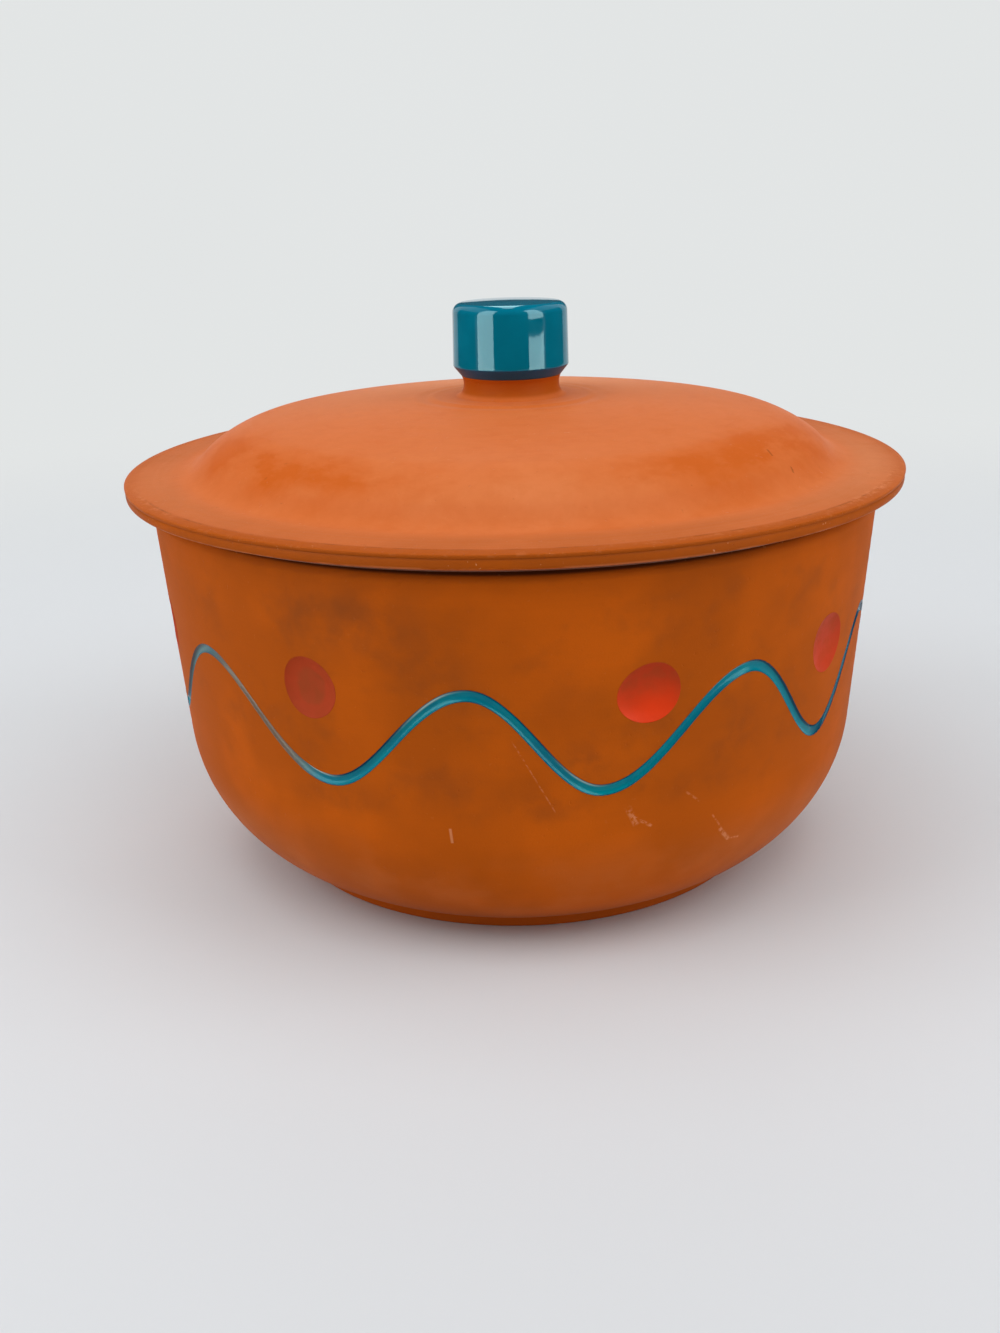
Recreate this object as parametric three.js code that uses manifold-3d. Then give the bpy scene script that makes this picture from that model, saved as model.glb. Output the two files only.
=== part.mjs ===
// Lidded casserole dish in fired red clay: a pot with a carved wave line and pressed dots, and a knobbed lid.
// Millimetres, +Z up. The origin is the middle of the flat foot. Bearings are degrees from the front (-Y)
// towards +X.
import * as THREE from 'three';
import { mergeVertices } from 'three/addons/utils/BufferGeometryUtils.js';
import Module from 'manifold-3d';

const wasm = await Module();
wasm.setup();

// Fits and finishes
const SEAT_GAP = 0.3; // between a glaze or a seated piece and the clay that carries it
const LINING_T = 0.8; // clear glaze inside the pot and the lid
const LID_PLAY = 1.4; // between the lid's locating ring and the pot's mouth

// Pot
const RIM_R = 122; // outside radius at the rim
const RIM_Z = 127.5; // height of the rim
const RIM_ROUND = 1.4; // rounding of the rim's two edges
const WALL_T = 7.5;
const WALL_LEAN = 4.05; // degrees that the upper wall leans outwards
const BELLY_ROUND = 54; // outside round between the wall and the foot
const FLOOR_T = 8.5;
const FLOOR_ROUND = 40; // inside round between the wall and the floor
const FOOT_R = 85;
const FOOT_H = 4.2;
const FOOT_STEP = 1.4; // how far the belly stands out past the foot
const FOOT_EDGE = 0.8; // bevel at the foot's lower edge
const LINING_DROP = 5; // bare clay between the rim and the pot's lining

// Carved wave line
const WAVES = 9;
const WAVE_BEARING = -50; // where the first crest would be if the crests were evenly spaced
const WAVE_DROP = 51.5; // middle of the line below the rim
const WAVE_RISE = 15.4; // crest above the middle of the line
const GROOVE_W = 3.4;
const GROOVE_DEPTH = 1.4;
const GLAZE_SINK = 0.3; // how far the glaze lies below the lips of its groove
const WAVE_STRAY = [ // hand drawn: degrees that each crest and trough strays from even spacing
  -2.3, 1.8, 3, 1.5, 3.9, 1.7, -2, 0.5, -1, 1, 0, -1.5, 1, 0.5, -1, 1.5, -1, -3.5,
];

// Pressed dots, one above each trough
const DOT_LIFT = 13.5; // middle of a dot above the middle of the wave line
const DOT_TALL = 19.5; // height of a dot; the round wall makes it a little narrower
const DOT_DEPTH = 1.8;
const DOT_GLAZE_T = 0.7;
const DOT_STRAY = [-2, 6.3, 0.6, -1.5, 2, -0.5, 1.5, -2.5, 1]; // degrees that each dot strays from its trough

// Lid
const BRIM_OVERHANG = 8; // brim past the pot's rim
const BRIM_UP = 6.7; // top of the brim's edge above the seat
const BRIM_EDGE_T = 4.7; // thickness of the brim's edge
const BEAD_ROUND = 1.6; // bead along the top of the edge
const BEAD_LINE = 0.5; // depth of the line turned under the bead
const BRIM_FALL = 0.5; // the brim's top falls this much towards its edge
const DOME_INSET = 8.5; // foot of the dome inside the pot's rim radius
const SWEEP_W = 9.7; // hollow sweep from brim to dome
const SWEEP_H = 5.6;
const DOME_STEEP = 1.05; // fall for each millimetre outwards where the sweep meets the shoulder
const SHOULDER_W = 18.5; // round shoulder from the sweep to the crown
const SHOULDER_H = 9.1;
const CROWN_H = 6.7; // crown above the shoulder
const CROWN_EASE = 0.48; // share of the shoulder's width over which the crown's slope carries on
const LID_T = 7;
const RING_T = 4.6; // locating ring under the brim
const RING_H = 8.3;
const RING_EDGE = 1; // bevel at the ring's lower outer edge

// Knob
const KNOB_R = 18.85;
const KNOB_FLARE = 0.35; // the knob's lower corner stands out this much
const KNOB_H = 20.6; // from the lower corner to the top
const KNOB_ROUND = 3.7; // rounding of the top edge
const CHAMFER_H = 3.4; // slanting under-face between the corner and the neck
const CHAMFER_W = 1.9;
const NECK_R = 16.6;
const NECK_H = 6.1; // from the crown to the chamfer
const NECK_FOOT_R = 21; // flat seat of the neck on the crown
const NECK_EDGE = 1; // the neck's foot stops this far inside its seat
const KNOB_GLAZE_T = 0.9;

// How finely the round forms are cut into facets
const POT_SIDES = 48;
const KNOB_SIDES = 24;
const WAVE_STEPS = 12; // facets along one wave
const GROOVE_SIDES = 6;
const DOT_SIDES = 12;
const DOT_STEPS = 2; // facets from the middle of a dot to its edge
const POT_STEPS = 3; // facets along each curve of the pot's profile
const DOME_STEPS = 4; // and of the lid's top
const BRIM_STEPS = 3; // and of its brim and ring
const KNOB_STEPS = 2; // and of the glazed knob
const NECK_STEPS = 3; // and of its neck
const OUTSIDE = 3; // how far a cutting solid reaches out past the wall

const rad = THREE.MathUtils.degToRad;
const lean = rad(WALL_LEAN);
const waveZ = RIM_Z - WAVE_DROP;
const seatZ = RIM_Z + SEAT_GAP;
const brimZ = seatZ + BRIM_UP;
const point = (r, z) => new THREE.Vector2(r, z);

// Outside radius of the leaning wall at a height.
const wallRadius = (z) => RIM_R - Math.tan(lean) * (RIM_Z - z);

// Joins points into a profile without repeating one.
function tidyProfile(points) {
  return points.filter((p, i) => i === 0 || p.distanceTo(points[i - 1]) > 1e-3);
}

// Turns a profile round the Z axis. It starts and ends on the axis or closes on itself, wound either way.
function turned(points, sides) {
  const profile = tidyProfile(points);
  if (THREE.ShapeUtils.area(profile) < 0) profile.reverse();
  return new THREE.LatheGeometry(profile, sides).rotateX(Math.PI / 2);
}

// Moves an open profile sideways by a distance, to the left of the way it runs, with sharp corners kept.
function offsetProfile(points, distance) {
  const normals = points.slice(1).map((p, i) => {
    const along = p.clone().sub(points[i]).normalize();
    return point(-along.y, along.x);
  });
  return points.map((p, i) => {
    const before = normals[Math.max(i - 1, 0)];
    const after = normals[Math.min(i, normals.length - 1)];
    const middle = before.clone().add(after).normalize();
    return p.clone().addScaledVector(middle, distance / middle.dot(after));
  });
}

// A closed geometry as a solid that can be cut and joined.
function toSolid(geometry) {
  const bare = geometry.clone();
  bare.deleteAttribute('normal');
  bare.deleteAttribute('uv');
  const merged = mergeVertices(bare, 1e-4);
  const index = merged.index.array;
  const faces = [];
  for (let i = 0; i < index.length; i += 3) {
    const [a, b, c] = [index[i], index[i + 1], index[i + 2]];
    if (a !== b && b !== c && c !== a) faces.push(a, b, c);
  }
  const mesh = new wasm.Mesh({
    numProp: 3,
    vertProperties: new Float32Array(merged.attributes.position.array),
    triVerts: new Uint32Array(faces),
  });
  return new wasm.Manifold(mesh);
}

function toGeometry(solid) {
  const mesh = solid.getMesh();
  const geometry = new THREE.BufferGeometry();
  geometry.setAttribute('position', new THREE.BufferAttribute(mesh.vertProperties, mesh.numProp));
  geometry.setIndex(new THREE.BufferAttribute(mesh.triVerts, 1));
  geometry.computeVertexNormals();
  return geometry;
}

// Materials
const clay = { color: 0xb8551c, roughness: 0.82, metalness: 0 };
const paleClay = { color: 0xcb6a35, roughness: 0.8, metalness: 0 };
const tealGlaze = { color: 0x04616f, roughness: 0.12, metalness: 0 };
const redGlaze = { color: 0xc23a1b, roughness: 0.3, metalness: 0 };
const clearGlaze = { color: 0x8a3f1c, roughness: 0.15, metalness: 0 };

function piece(name, geometry, finish) {
  const mesh = new THREE.Mesh(geometry, new THREE.MeshStandardMaterial(finish));
  mesh.name = name;
  return mesh;
}

// Outer belly: a round that touches the leaning wall and runs down to the top of the foot. Its centre lies
// BELLY_ROUND inside the wall line, at the height where the round also passes through the foot's top edge.
function bellyRound() {
  const footTop = point(FOOT_R + FOOT_STEP, FOOT_H);
  const slope = Math.tan(lean);
  const lineAtZero = wallRadius(0) - BELLY_ROUND / Math.cos(lean);
  const reach = footTop.x - lineAtZero;
  const half = slope * reach + footTop.y;
  const square = 1 + slope * slope;
  const rest = reach * reach + footTop.y * footTop.y - BELLY_ROUND * BELLY_ROUND;
  const centreZ = (half + Math.sqrt(half * half - square * rest)) / square;
  const centre = point(lineAtZero + slope * centreZ, centreZ);
  return { centre, start: footTop.clone().sub(centre).angle(), end: 2 * Math.PI - lean };
}

// Inside of the pot from the middle of the floor up to a height, moved in from the clay by an inset.
function potInside(inset, topZ) {
  const round = FLOOR_ROUND - inset;
  const innerR = (z) => wallRadius(z) - (WALL_T + inset) / Math.cos(lean);
  const centreZ = FLOOR_T + FLOOR_ROUND;
  const centreR = innerR(centreZ) - round / Math.cos(lean);
  const path = new THREE.Path();
  path.moveTo(0, FLOOR_T + inset);
  path.lineTo(centreR, FLOOR_T + inset);
  path.absarc(centreR, centreZ, round, -Math.PI / 2, -lean, false);
  path.lineTo(innerR(topZ), topZ);
  return path.getPoints(POT_STEPS);
}

// Turned body of the pot: foot, belly, wall, rounded rim and inside.
function potProfile() {
  const belly = bellyRound();
  const outside = new THREE.Path();
  outside.moveTo(0, 0);
  outside.lineTo(FOOT_R - FOOT_EDGE, 0);
  outside.lineTo(FOOT_R, FOOT_EDGE);
  outside.lineTo(FOOT_R, FOOT_H);
  outside.absarc(belly.centre.x, belly.centre.y, BELLY_ROUND, belly.start, belly.end, false);
  const innerRim = wallRadius(RIM_Z) - WALL_T / Math.cos(lean);
  outside.lineTo(wallRadius(RIM_Z - RIM_ROUND), RIM_Z - RIM_ROUND);
  outside.quadraticCurveTo(RIM_R, RIM_Z, RIM_R - RIM_ROUND, RIM_Z);
  outside.lineTo(innerRim + RIM_ROUND, RIM_Z);
  outside.quadraticCurveTo(innerRim, RIM_Z, innerRim, RIM_Z - RIM_ROUND);
  return [...outside.getPoints(POT_STEPS), ...potInside(0, RIM_Z - 2 * RIM_ROUND).reverse()];
}

// Bearings, in radians, of the wave's crests (even places) and troughs (odd places).
function waveTurns() {
  const spacing = 360 / (2 * WAVES);
  return Array.from({ length: 2 * WAVES }, (unused, k) =>
    rad(WAVE_BEARING + spacing * k + WAVE_STRAY[k % WAVE_STRAY.length]));
}

// Height of the wave line and its slope per radian at a bearing: half a cosine from each turn to the next.
function waveAt(bearing) {
  const turns = waveTurns();
  const full = 2 * Math.PI;
  const from = turns[0];
  const angle = from + ((((bearing - from) % full) + full) % full);
  const next = [...turns.slice(1), from + full];
  const k = next.findIndex((turn) => angle < turn);
  const span = next[k] - turns[k];
  const phase = Math.PI * ((angle - turns[k]) / span + (k % 2));
  return {
    z: waveZ + WAVE_RISE * Math.cos(phase),
    slope: -WAVE_RISE * Math.sin(phase) * (Math.PI / span),
  };
}

// A ring that follows the wave line: a torus whose points are moved on to the wall. Its section is a half
// round of the given half width and depth below a level, with a rise above it.
function waveRing({ halfWidth, depth, rise, level }) {
  const [big, small] = [1, 0.5];
  const ring = new THREE.TorusGeometry(big, small, GROOVE_SIDES, WAVES * WAVE_STEPS);
  const position = ring.attributes.position;
  const place = new THREE.Vector3();
  for (let i = 0; i < position.count; i++) {
    place.fromBufferAttribute(position, i);
    const bearing = Math.atan2(place.y, place.x);
    const across = (Math.hypot(place.x, place.y) - big) / small;
    const up = place.z / small;
    const wave = waveAt(bearing);
    const tilt = Math.atan2(wave.slope, wallRadius(wave.z));
    const sideways = halfWidth * across;
    const turn = bearing + (sideways * Math.sin(tilt)) / wallRadius(wave.z);
    const z = wave.z - sideways * Math.cos(tilt);
    const r = wallRadius(z) + level + up * (up > 0 ? rise : depth);
    position.setXYZ(i, r * Math.sin(turn), -r * Math.cos(turn), z);
  }
  return ring;
}

// A lens turned about the outward direction at a bearing: the part of a ball between its innermost point and
// a plane just outside the wall. The inset makes the ball smaller about the same centre.
function ballCap(bearing, z, ball, inset) {
  const centre = wallRadius(z) + ball - DOT_DEPTH;
  const radius = ball - inset;
  const edge = Math.acos((ball - DOT_DEPTH - OUTSIDE) / radius);
  const cap = new THREE.Path();
  cap.moveTo(0, centre - radius);
  cap.absarc(0, centre, radius, -Math.PI / 2, -Math.PI / 2 + edge, false);
  cap.lineTo(0, centre - radius * Math.cos(edge));
  const points = tidyProfile(cap.getPoints(DOT_STEPS));
  const lens = new THREE.LatheGeometry(points, DOT_SIDES);
  return lens.rotateZ(bearing + Math.PI).translate(0, 0, z);
}

const dotBall = (DOT_TALL * DOT_TALL) / (8 * DOT_DEPTH) + DOT_DEPTH / 2;
const dotZ = waveZ + DOT_LIFT;
const dotBearings = waveTurns()
  .filter((turn, k) => k % 2 === 1)
  .map((turn, k) => turn + rad(DOT_STRAY[k % DOT_STRAY.length]));

function makePot() {
  const groove = toSolid(waveRing({
    halfWidth: GROOVE_W / 2, depth: GROOVE_DEPTH, rise: OUTSIDE, level: 0,
  }));
  let body = toSolid(turned(potProfile(), POT_SIDES)).subtract(groove);
  for (const bearing of dotBearings) {
    body = body.subtract(toSolid(ballCap(bearing, dotZ, dotBall, 0)));
  }
  return piece('pot_body', toGeometry(body), clay);
}

function makeWaveGlaze() {
  const glaze = waveRing({
    halfWidth: GROOVE_W / 2 - SEAT_GAP,
    depth: GROOVE_DEPTH - SEAT_GAP - GLAZE_SINK,
    rise: 0,
    level: -GLAZE_SINK,
  });
  return piece('wave_glaze', toGeometry(toSolid(glaze)), tealGlaze);
}

// Red glaze: a skin that follows the dimple and stops just inside the surface of the wall.
function makeDotGlaze(bearing, k) {
  const low = dotZ - DOT_TALL;
  const high = dotZ + DOT_TALL;
  const insideWall = toSolid(turned([
    point(0, low), point(wallRadius(low) - SEAT_GAP, low),
    point(wallRadius(high) - SEAT_GAP, high), point(0, high),
  ], POT_SIDES));
  const glaze = toSolid(ballCap(bearing, dotZ, dotBall, SEAT_GAP))
    .subtract(toSolid(ballCap(bearing, dotZ, dotBall, SEAT_GAP + DOT_GLAZE_T)))
    .intersect(insideWall);
  return piece(`dot_glaze_${k + 1}`, toGeometry(glaze), redGlaze);
}

function makePotLining() {
  const top = RIM_Z - LINING_DROP;
  const profile = [...potInside(SEAT_GAP, top), ...potInside(SEAT_GAP + LINING_T, top).reverse()];
  return piece('pot_lining_glaze', turned(profile, POT_SIDES), clearGlaze);
}

// Lid radii and heights, from the pot's rim inwards
const lidR = RIM_R + BRIM_OVERHANG;
const domeFoot = point(RIM_R - DOME_INSET, brimZ + BRIM_FALL);
const domeSteep = point(domeFoot.x - SWEEP_W, domeFoot.y + SWEEP_H);
const crownEdge = point(domeSteep.x - SHOULDER_W, domeSteep.y + SHOULDER_H);
const crownZ = crownEdge.y + CROWN_H;
const steepEase = SWEEP_W / 4;
const mouthR = wallRadius(RIM_Z - RING_H) - (WALL_T + SEAT_GAP + LINING_T) / Math.cos(lean);
const ringR = mouthR - LID_PLAY;

// Top of the crown and shoulder, from the middle out to the steepest place.
function domeTop() {
  const top = new THREE.Path();
  top.moveTo(0, crownZ);
  top.lineTo(NECK_FOOT_R, crownZ);
  top.lineTo(crownEdge.x, crownEdge.y);
  const fall = CROWN_H / (crownEdge.x - NECK_FOOT_R);
  const ease = CROWN_EASE * SHOULDER_W;
  top.bezierCurveTo(
    crownEdge.x + ease, crownEdge.y - fall * ease,
    domeSteep.x - steepEase, domeSteep.y + steepEase * DOME_STEEP,
    domeSteep.x, domeSteep.y);
  return top.getPoints(DOME_STEPS);
}

function lidProfile() {
  const top = domeTop();
  const brim = new THREE.Path();
  brim.moveTo(domeSteep.x, domeSteep.y);
  brim.bezierCurveTo(
    domeSteep.x + steepEase, domeSteep.y - steepEase * DOME_STEEP,
    domeFoot.x - SWEEP_W / 2, domeFoot.y,
    domeFoot.x, domeFoot.y);
  brim.lineTo(lidR - BEAD_ROUND, brimZ);
  brim.quadraticCurveTo(lidR, brimZ, lidR, brimZ - BEAD_ROUND);
  brim.lineTo(lidR - BEAD_LINE, brimZ - BEAD_ROUND - BEAD_LINE);
  brim.lineTo(lidR - BEAD_LINE, brimZ - BRIM_EDGE_T + BEAD_LINE);
  brim.lineTo(lidR - 2 * BEAD_LINE, brimZ - BRIM_EDGE_T);
  brim.lineTo(RIM_R + RIM_ROUND, seatZ);
  brim.lineTo(ringR, seatZ);
  brim.lineTo(ringR, seatZ - RING_H + RING_EDGE);
  brim.lineTo(ringR - RING_EDGE, seatZ - RING_H);
  brim.lineTo(ringR - RING_T, seatZ - RING_H);
  const under = offsetProfile(top, -LID_T);
  const inner = under[under.length - 1];
  brim.quadraticCurveTo(ringR - RING_T, (seatZ + inner.y) / 2, inner.x, inner.y);
  return [...top, ...brim.getPoints(BRIM_STEPS), ...under.reverse()];
}

function makeLid() {
  return piece('lid_body', turned(lidProfile(), POT_SIDES), paleClay);
}

function makeLidLining() {
  const under = offsetProfile(domeTop(), -LID_T - SEAT_GAP);
  const lower = offsetProfile(domeTop(), -LID_T - SEAT_GAP - LINING_T);
  return piece('lid_lining_glaze', turned([...under, ...lower.reverse()], POT_SIDES), clearGlaze);
}

const neckTopZ = crownZ + NECK_H;
const cornerZ = neckTopZ + CHAMFER_H;
const knobTopZ = cornerZ + KNOB_H;

// Outside of the glazed knob, from its middle on top, over the rounded edge and down to the end of the
// chamfer.
function knobOutside() {
  const corner = KNOB_R + KNOB_FLARE;
  const path = new THREE.Path();
  path.moveTo(0, knobTopZ);
  path.lineTo(KNOB_R - KNOB_ROUND, knobTopZ);
  path.absarc(KNOB_R - KNOB_ROUND, knobTopZ - KNOB_ROUND, KNOB_ROUND, Math.PI / 2, 0, true);
  path.lineTo(KNOB_R, cornerZ + KNOB_H / 2);
  path.lineTo(corner, cornerZ);
  path.lineTo(corner - CHAMFER_W, neckTopZ);
  return path.getPoints(KNOB_STEPS);
}

function makeKnob() {
  const clayTop = offsetProfile(knobOutside(), -KNOB_GLAZE_T - SEAT_GAP);
  const neck = new THREE.Path();
  const footZ = crownZ + SEAT_GAP;
  neck.moveTo(NECK_R, neckTopZ - NECK_EDGE);
  neck.quadraticCurveTo(NECK_R, footZ + NECK_EDGE, NECK_FOOT_R - NECK_EDGE, footZ);
  neck.lineTo(0, footZ);
  return piece('lid_knob', turned([...clayTop, ...neck.getPoints(NECK_STEPS)], KNOB_SIDES), paleClay);
}

function makeKnobGlaze() {
  const profile = [...knobOutside(), ...offsetProfile(knobOutside(), -KNOB_GLAZE_T).reverse()];
  return piece('knob_glaze', turned(profile, KNOB_SIDES), tealGlaze);
}

const dish = new THREE.Group();
const pot = new THREE.Group();
pot.add(makePot(), makePotLining(), makeWaveGlaze(), ...dotBearings.map(makeDotGlaze));
const lid = new THREE.Group();
lid.add(makeLid(), makeLidLining(), makeKnob(), makeKnobGlaze());
dish.add(pot, lid);

export default dish;
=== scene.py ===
"""Finish of a lidded casserole dish in fired red clay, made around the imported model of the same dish.

Metres, +Z up, the front towards -Y. A bearing is an angle from the front towards +X, so the place at a
bearing and a radius is (radius * sin, -radius * cos). A turned piece is rows of radius and height carried
round the axis, listed anticlockwise in the plane of radius and height, so that its faces point outwards.
"""

import math

import bpy
import numpy as np
from bpy.props import FloatProperty, FloatVectorProperty, IntProperty, PointerProperty
from mathutils import Matrix, Vector


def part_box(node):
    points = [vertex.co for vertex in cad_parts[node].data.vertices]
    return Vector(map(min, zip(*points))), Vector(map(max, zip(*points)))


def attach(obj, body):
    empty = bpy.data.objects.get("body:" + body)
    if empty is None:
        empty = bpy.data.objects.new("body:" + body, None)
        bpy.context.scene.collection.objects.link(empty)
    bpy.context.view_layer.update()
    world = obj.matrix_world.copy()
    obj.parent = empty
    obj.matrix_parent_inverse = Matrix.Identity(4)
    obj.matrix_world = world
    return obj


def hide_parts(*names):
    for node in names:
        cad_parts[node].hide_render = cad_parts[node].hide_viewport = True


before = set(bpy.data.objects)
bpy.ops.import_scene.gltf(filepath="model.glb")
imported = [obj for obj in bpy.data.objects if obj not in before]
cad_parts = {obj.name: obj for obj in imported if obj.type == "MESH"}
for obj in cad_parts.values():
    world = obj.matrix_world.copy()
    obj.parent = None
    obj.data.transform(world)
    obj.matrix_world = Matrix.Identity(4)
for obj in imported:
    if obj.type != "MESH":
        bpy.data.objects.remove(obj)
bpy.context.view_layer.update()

bl_info = {
    "name": "Clay Casserole",
    "version": (1, 0, 0),
    "blender": (4, 5, 0),
    "location": "View3D > Sidebar > Casserole",
    "description": "Builds the clay, the glazes and the stage of a lidded casserole dish",
    "category": "Object",
}

MM = 0.001
TURN = 2 * math.pi

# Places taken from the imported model
POT_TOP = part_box("pot_body")[1]
POT_LINING_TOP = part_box("pot_lining_glaze")[1]
WAVE_LOW, WAVE_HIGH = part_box("wave_glaze")
WAVE_MIDDLE = (WAVE_LOW.z + WAVE_HIGH.z) / 2
LID_LOW, LID_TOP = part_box("lid_body")
KNOB_LOW, KNOB_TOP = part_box("knob_glaze")
DOT_NODES = sorted(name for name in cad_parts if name.startswith("dot_glaze"))
DOT_MIDDLES = [sum(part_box(name), Vector()) / 2 for name in DOT_NODES]
DOT_BEARINGS = np.array([math.atan2(middle.x, -middle.y) for middle in DOT_MIDDLES])
DOT_HEIGHT = WAVE_MIDDLE + 13.2 * MM

# Degrees that each crest and trough of the hand drawn wave strays from even spacing
WAVE_STRAY = np.array([-2.3, 1.8, 3, 1.5, 3.9, 1.7, -2, 0.5, -1, 1, 0, -1.5, 1, 0.5, -1, 1.5, -1, -3.5])

# Radius of the innermost points, inside which a fan closes a turned piece on the axis
INNERMOST = 4 * MM

# Slope of the lid's crown where it meets the neck
CROWN_LEAN = 0.03

# How far a lining reaches into the clay under it
LAP = 0.05 * MM

# Radii, in millimetres, of the wall about the wave line and of the lid's shoulder, where marks are measured
WALL = 119
SHOULDER = 100

# How finely the surfaces are cut
POT_COLUMNS = 384
WAVE_COLUMNS = 864
LID_COLUMNS = 336
LINING_COLUMNS = 192
KNOB_COLUMNS = 256
DOT_COLUMNS = 96


def length(name, description, default):
    return FloatProperty(name=name, description=description, default=default, unit="LENGTH", precision=5)


def angle(name, description, degrees):
    return FloatProperty(name=name, description=description, default=math.radians(degrees), subtype="ANGLE")


def share(name, description, default):
    return FloatProperty(name=name, description=description, default=default, subtype="FACTOR", max=1)


def power(name, description, watts):
    return FloatProperty(name=name, description=description, default=watts, unit="POWER", min=0)


def tint(name, description, default):
    return FloatVectorProperty(
        name=name, description=description, default=default, subtype="COLOR", size=3, min=0, max=1)


class PotSettings(bpy.types.PropertyGroup):
    """Sizes of the thrown pot."""

    rim_radius: length("Rim radius", "Outside radius at the rim", POT_TOP.x)
    rim_height: length("Rim height", "Height of the rim above the table", POT_TOP.z)
    rim_round: length("Rim rounding", "Rounding of the rim's two edges", 2 * MM)
    wall: length("Wall", "Thickness of the wall", 7.5 * MM)
    lean: angle("Wall lean", "How far the upper wall leans outwards", 4.05)
    belly_round: length("Belly round", "Outside round between wall and foot", 54 * MM)
    floor: length("Floor", "Thickness of the floor", 8.5 * MM)
    floor_round: length("Floor round", "Inside round between wall and floor", 40 * MM)
    foot_radius: length("Foot radius", "Radius of the flat foot", 85 * MM)
    foot_height: length("Foot height", "Height of the foot's side", 4.2 * MM)
    foot_step: length("Foot step", "How far the belly stands out past the foot", 1.4 * MM)
    foot_edge: length("Foot edge", "Rounding at the foot's lower edge", 0.8 * MM)
    lining: length("Lining", "Thickness of the clear glaze inside", 0.8 * MM)
    sway: length("Out of round", "How far the thrown wall strays from round", 0.12 * MM)
    ridge: length("Throwing ridge", "Height of the ridges that the fingers left", 0.025 * MM)


class MarkSettings(bpy.types.PropertyGroup):
    """Sizes of the carved wave line and of the pressed dots."""

    waves: IntProperty(name="Waves", description="Number of whole waves round the pot", default=9)
    first_bearing: angle("First crest", "Bearing of the first crest if the crests were even", -50)
    middle: length("Wave middle", "Height of the middle of the wave line", WAVE_MIDDLE)
    rise: length("Wave rise", "Height of a crest above the middle", 15.4 * MM)
    groove: length("Groove width", "Width of the carved groove", 3.4 * MM)
    depth: length("Groove depth", "Depth of the carved groove", 1.4 * MM)
    thinning: share("Thinning", "How much thinner the line is cut where it is steepest", 0.16)
    light_cut: share("Light cut", "How much thinner the line is where it was cut lightly", 0.30)
    light_bearing: angle("Light cut bearing", "Bearing of the lightly cut stretch", -46)
    light_spread: angle("Light cut spread", "Half width of the lightly cut stretch", 12)
    glaze_depth: length("Glaze depth", "Depth of the hollow that is left in the glaze", 0.95 * MM)
    dot_wide: length("Dot width", "Width of a pressed dot along the wall", 18.7 * MM)
    dot_tall: length("Dot height", "Height of a pressed dot", 18.6 * MM)
    dot_depth: length("Dot depth", "Depth of the press in the clay", 1.8 * MM)
    dot_hollow: length("Dot hollow", "Depth of the hollow that is left in a dot's glaze", 1.3 * MM)


class LidSettings(bpy.types.PropertyGroup):
    """Sizes of the turned lid."""

    radius: length("Brim radius", "Outside radius of the brim", LID_TOP.x)
    crown: length("Crown height", "Height of the crown above the table", LID_TOP.z - 0.7 * MM)
    seat: length("Seat height", "Height of the face that rests on the rim", POT_TOP.z + 0.3 * MM)
    brim_up: length("Brim height", "Top of the brim's edge above the seat", 6.7 * MM)
    edge: length("Edge thickness", "Thickness of the brim's edge", 4.7 * MM)
    bead: length("Bead", "Rounding of the bead along the edge", 1.3 * MM)
    bead_roll: length("Bead roll", "How far in from the edge the brim begins to roll down", 5.2 * MM)
    bead_line: length("Bead line", "Depth of the line turned under the bead", 0.25 * MM)
    brim_fall: length("Brim fall", "How far the brim's top falls towards its edge", 0.5 * MM)
    dome_inset: length("Dome inset", "Foot of the dome inside the pot's rim radius", 8.5 * MM)
    sweep_wide: length("Sweep width", "Width of the hollow sweep from brim to dome", 9.7 * MM)
    sweep_high: length("Sweep height", "Height of the hollow sweep", 5.6 * MM)
    shoulder_wide: length("Shoulder width", "Width of the round shoulder", 18.5 * MM)
    shoulder_high: length("Shoulder height", "Height of the round shoulder", 9.1 * MM)
    thickness: length("Thickness", "Thickness of the dome", 7 * MM)
    ring_radius: length("Ring radius", "Outside radius of the locating ring", 111.4 * MM)
    ring: length("Ring thickness", "Thickness of the locating ring", 4.6 * MM)
    ring_edge: length("Ring edge", "Bevel at the ring's lower outer edge", 1 * MM)
    lining: length("Lining", "Thickness of the clear glaze inside", 0.8 * MM)


class KnobSettings(bpy.types.PropertyGroup):
    """Sizes of the knob and its neck."""

    radius: length("Knob radius", "Radius of the knob's side", 19.1 * MM)
    corner: length("Corner radius", "Radius of the knob's lower corner", KNOB_TOP.x + 0.2 * MM)
    top: length("Knob top", "Height of the knob's top above the table", KNOB_TOP.z)
    corner_height: length("Corner height", "Height of the lower corner above the table", 165.9 * MM)
    end_height: length("Glaze end", "Height where the glaze ends", KNOB_LOW.z)
    rounding: length("Top rounding", "Rounding of the knob's top edge", 3.1 * MM)
    chamfer: length("Chamfer", "How far the slanting face under the knob draws in", 2.6 * MM)
    neck: length("Neck radius", "Radius of the neck", 16.1 * MM)
    neck_foot: length("Neck foot", "Radius where the neck's round meets the crown", 19.6 * MM)
    dome: length("Dome", "How far the knob's top falls to its rounding", 0.4 * MM)
    glaze: length("Glaze thickness", "Thickness of the teal glaze", 0.9 * MM)


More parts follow.
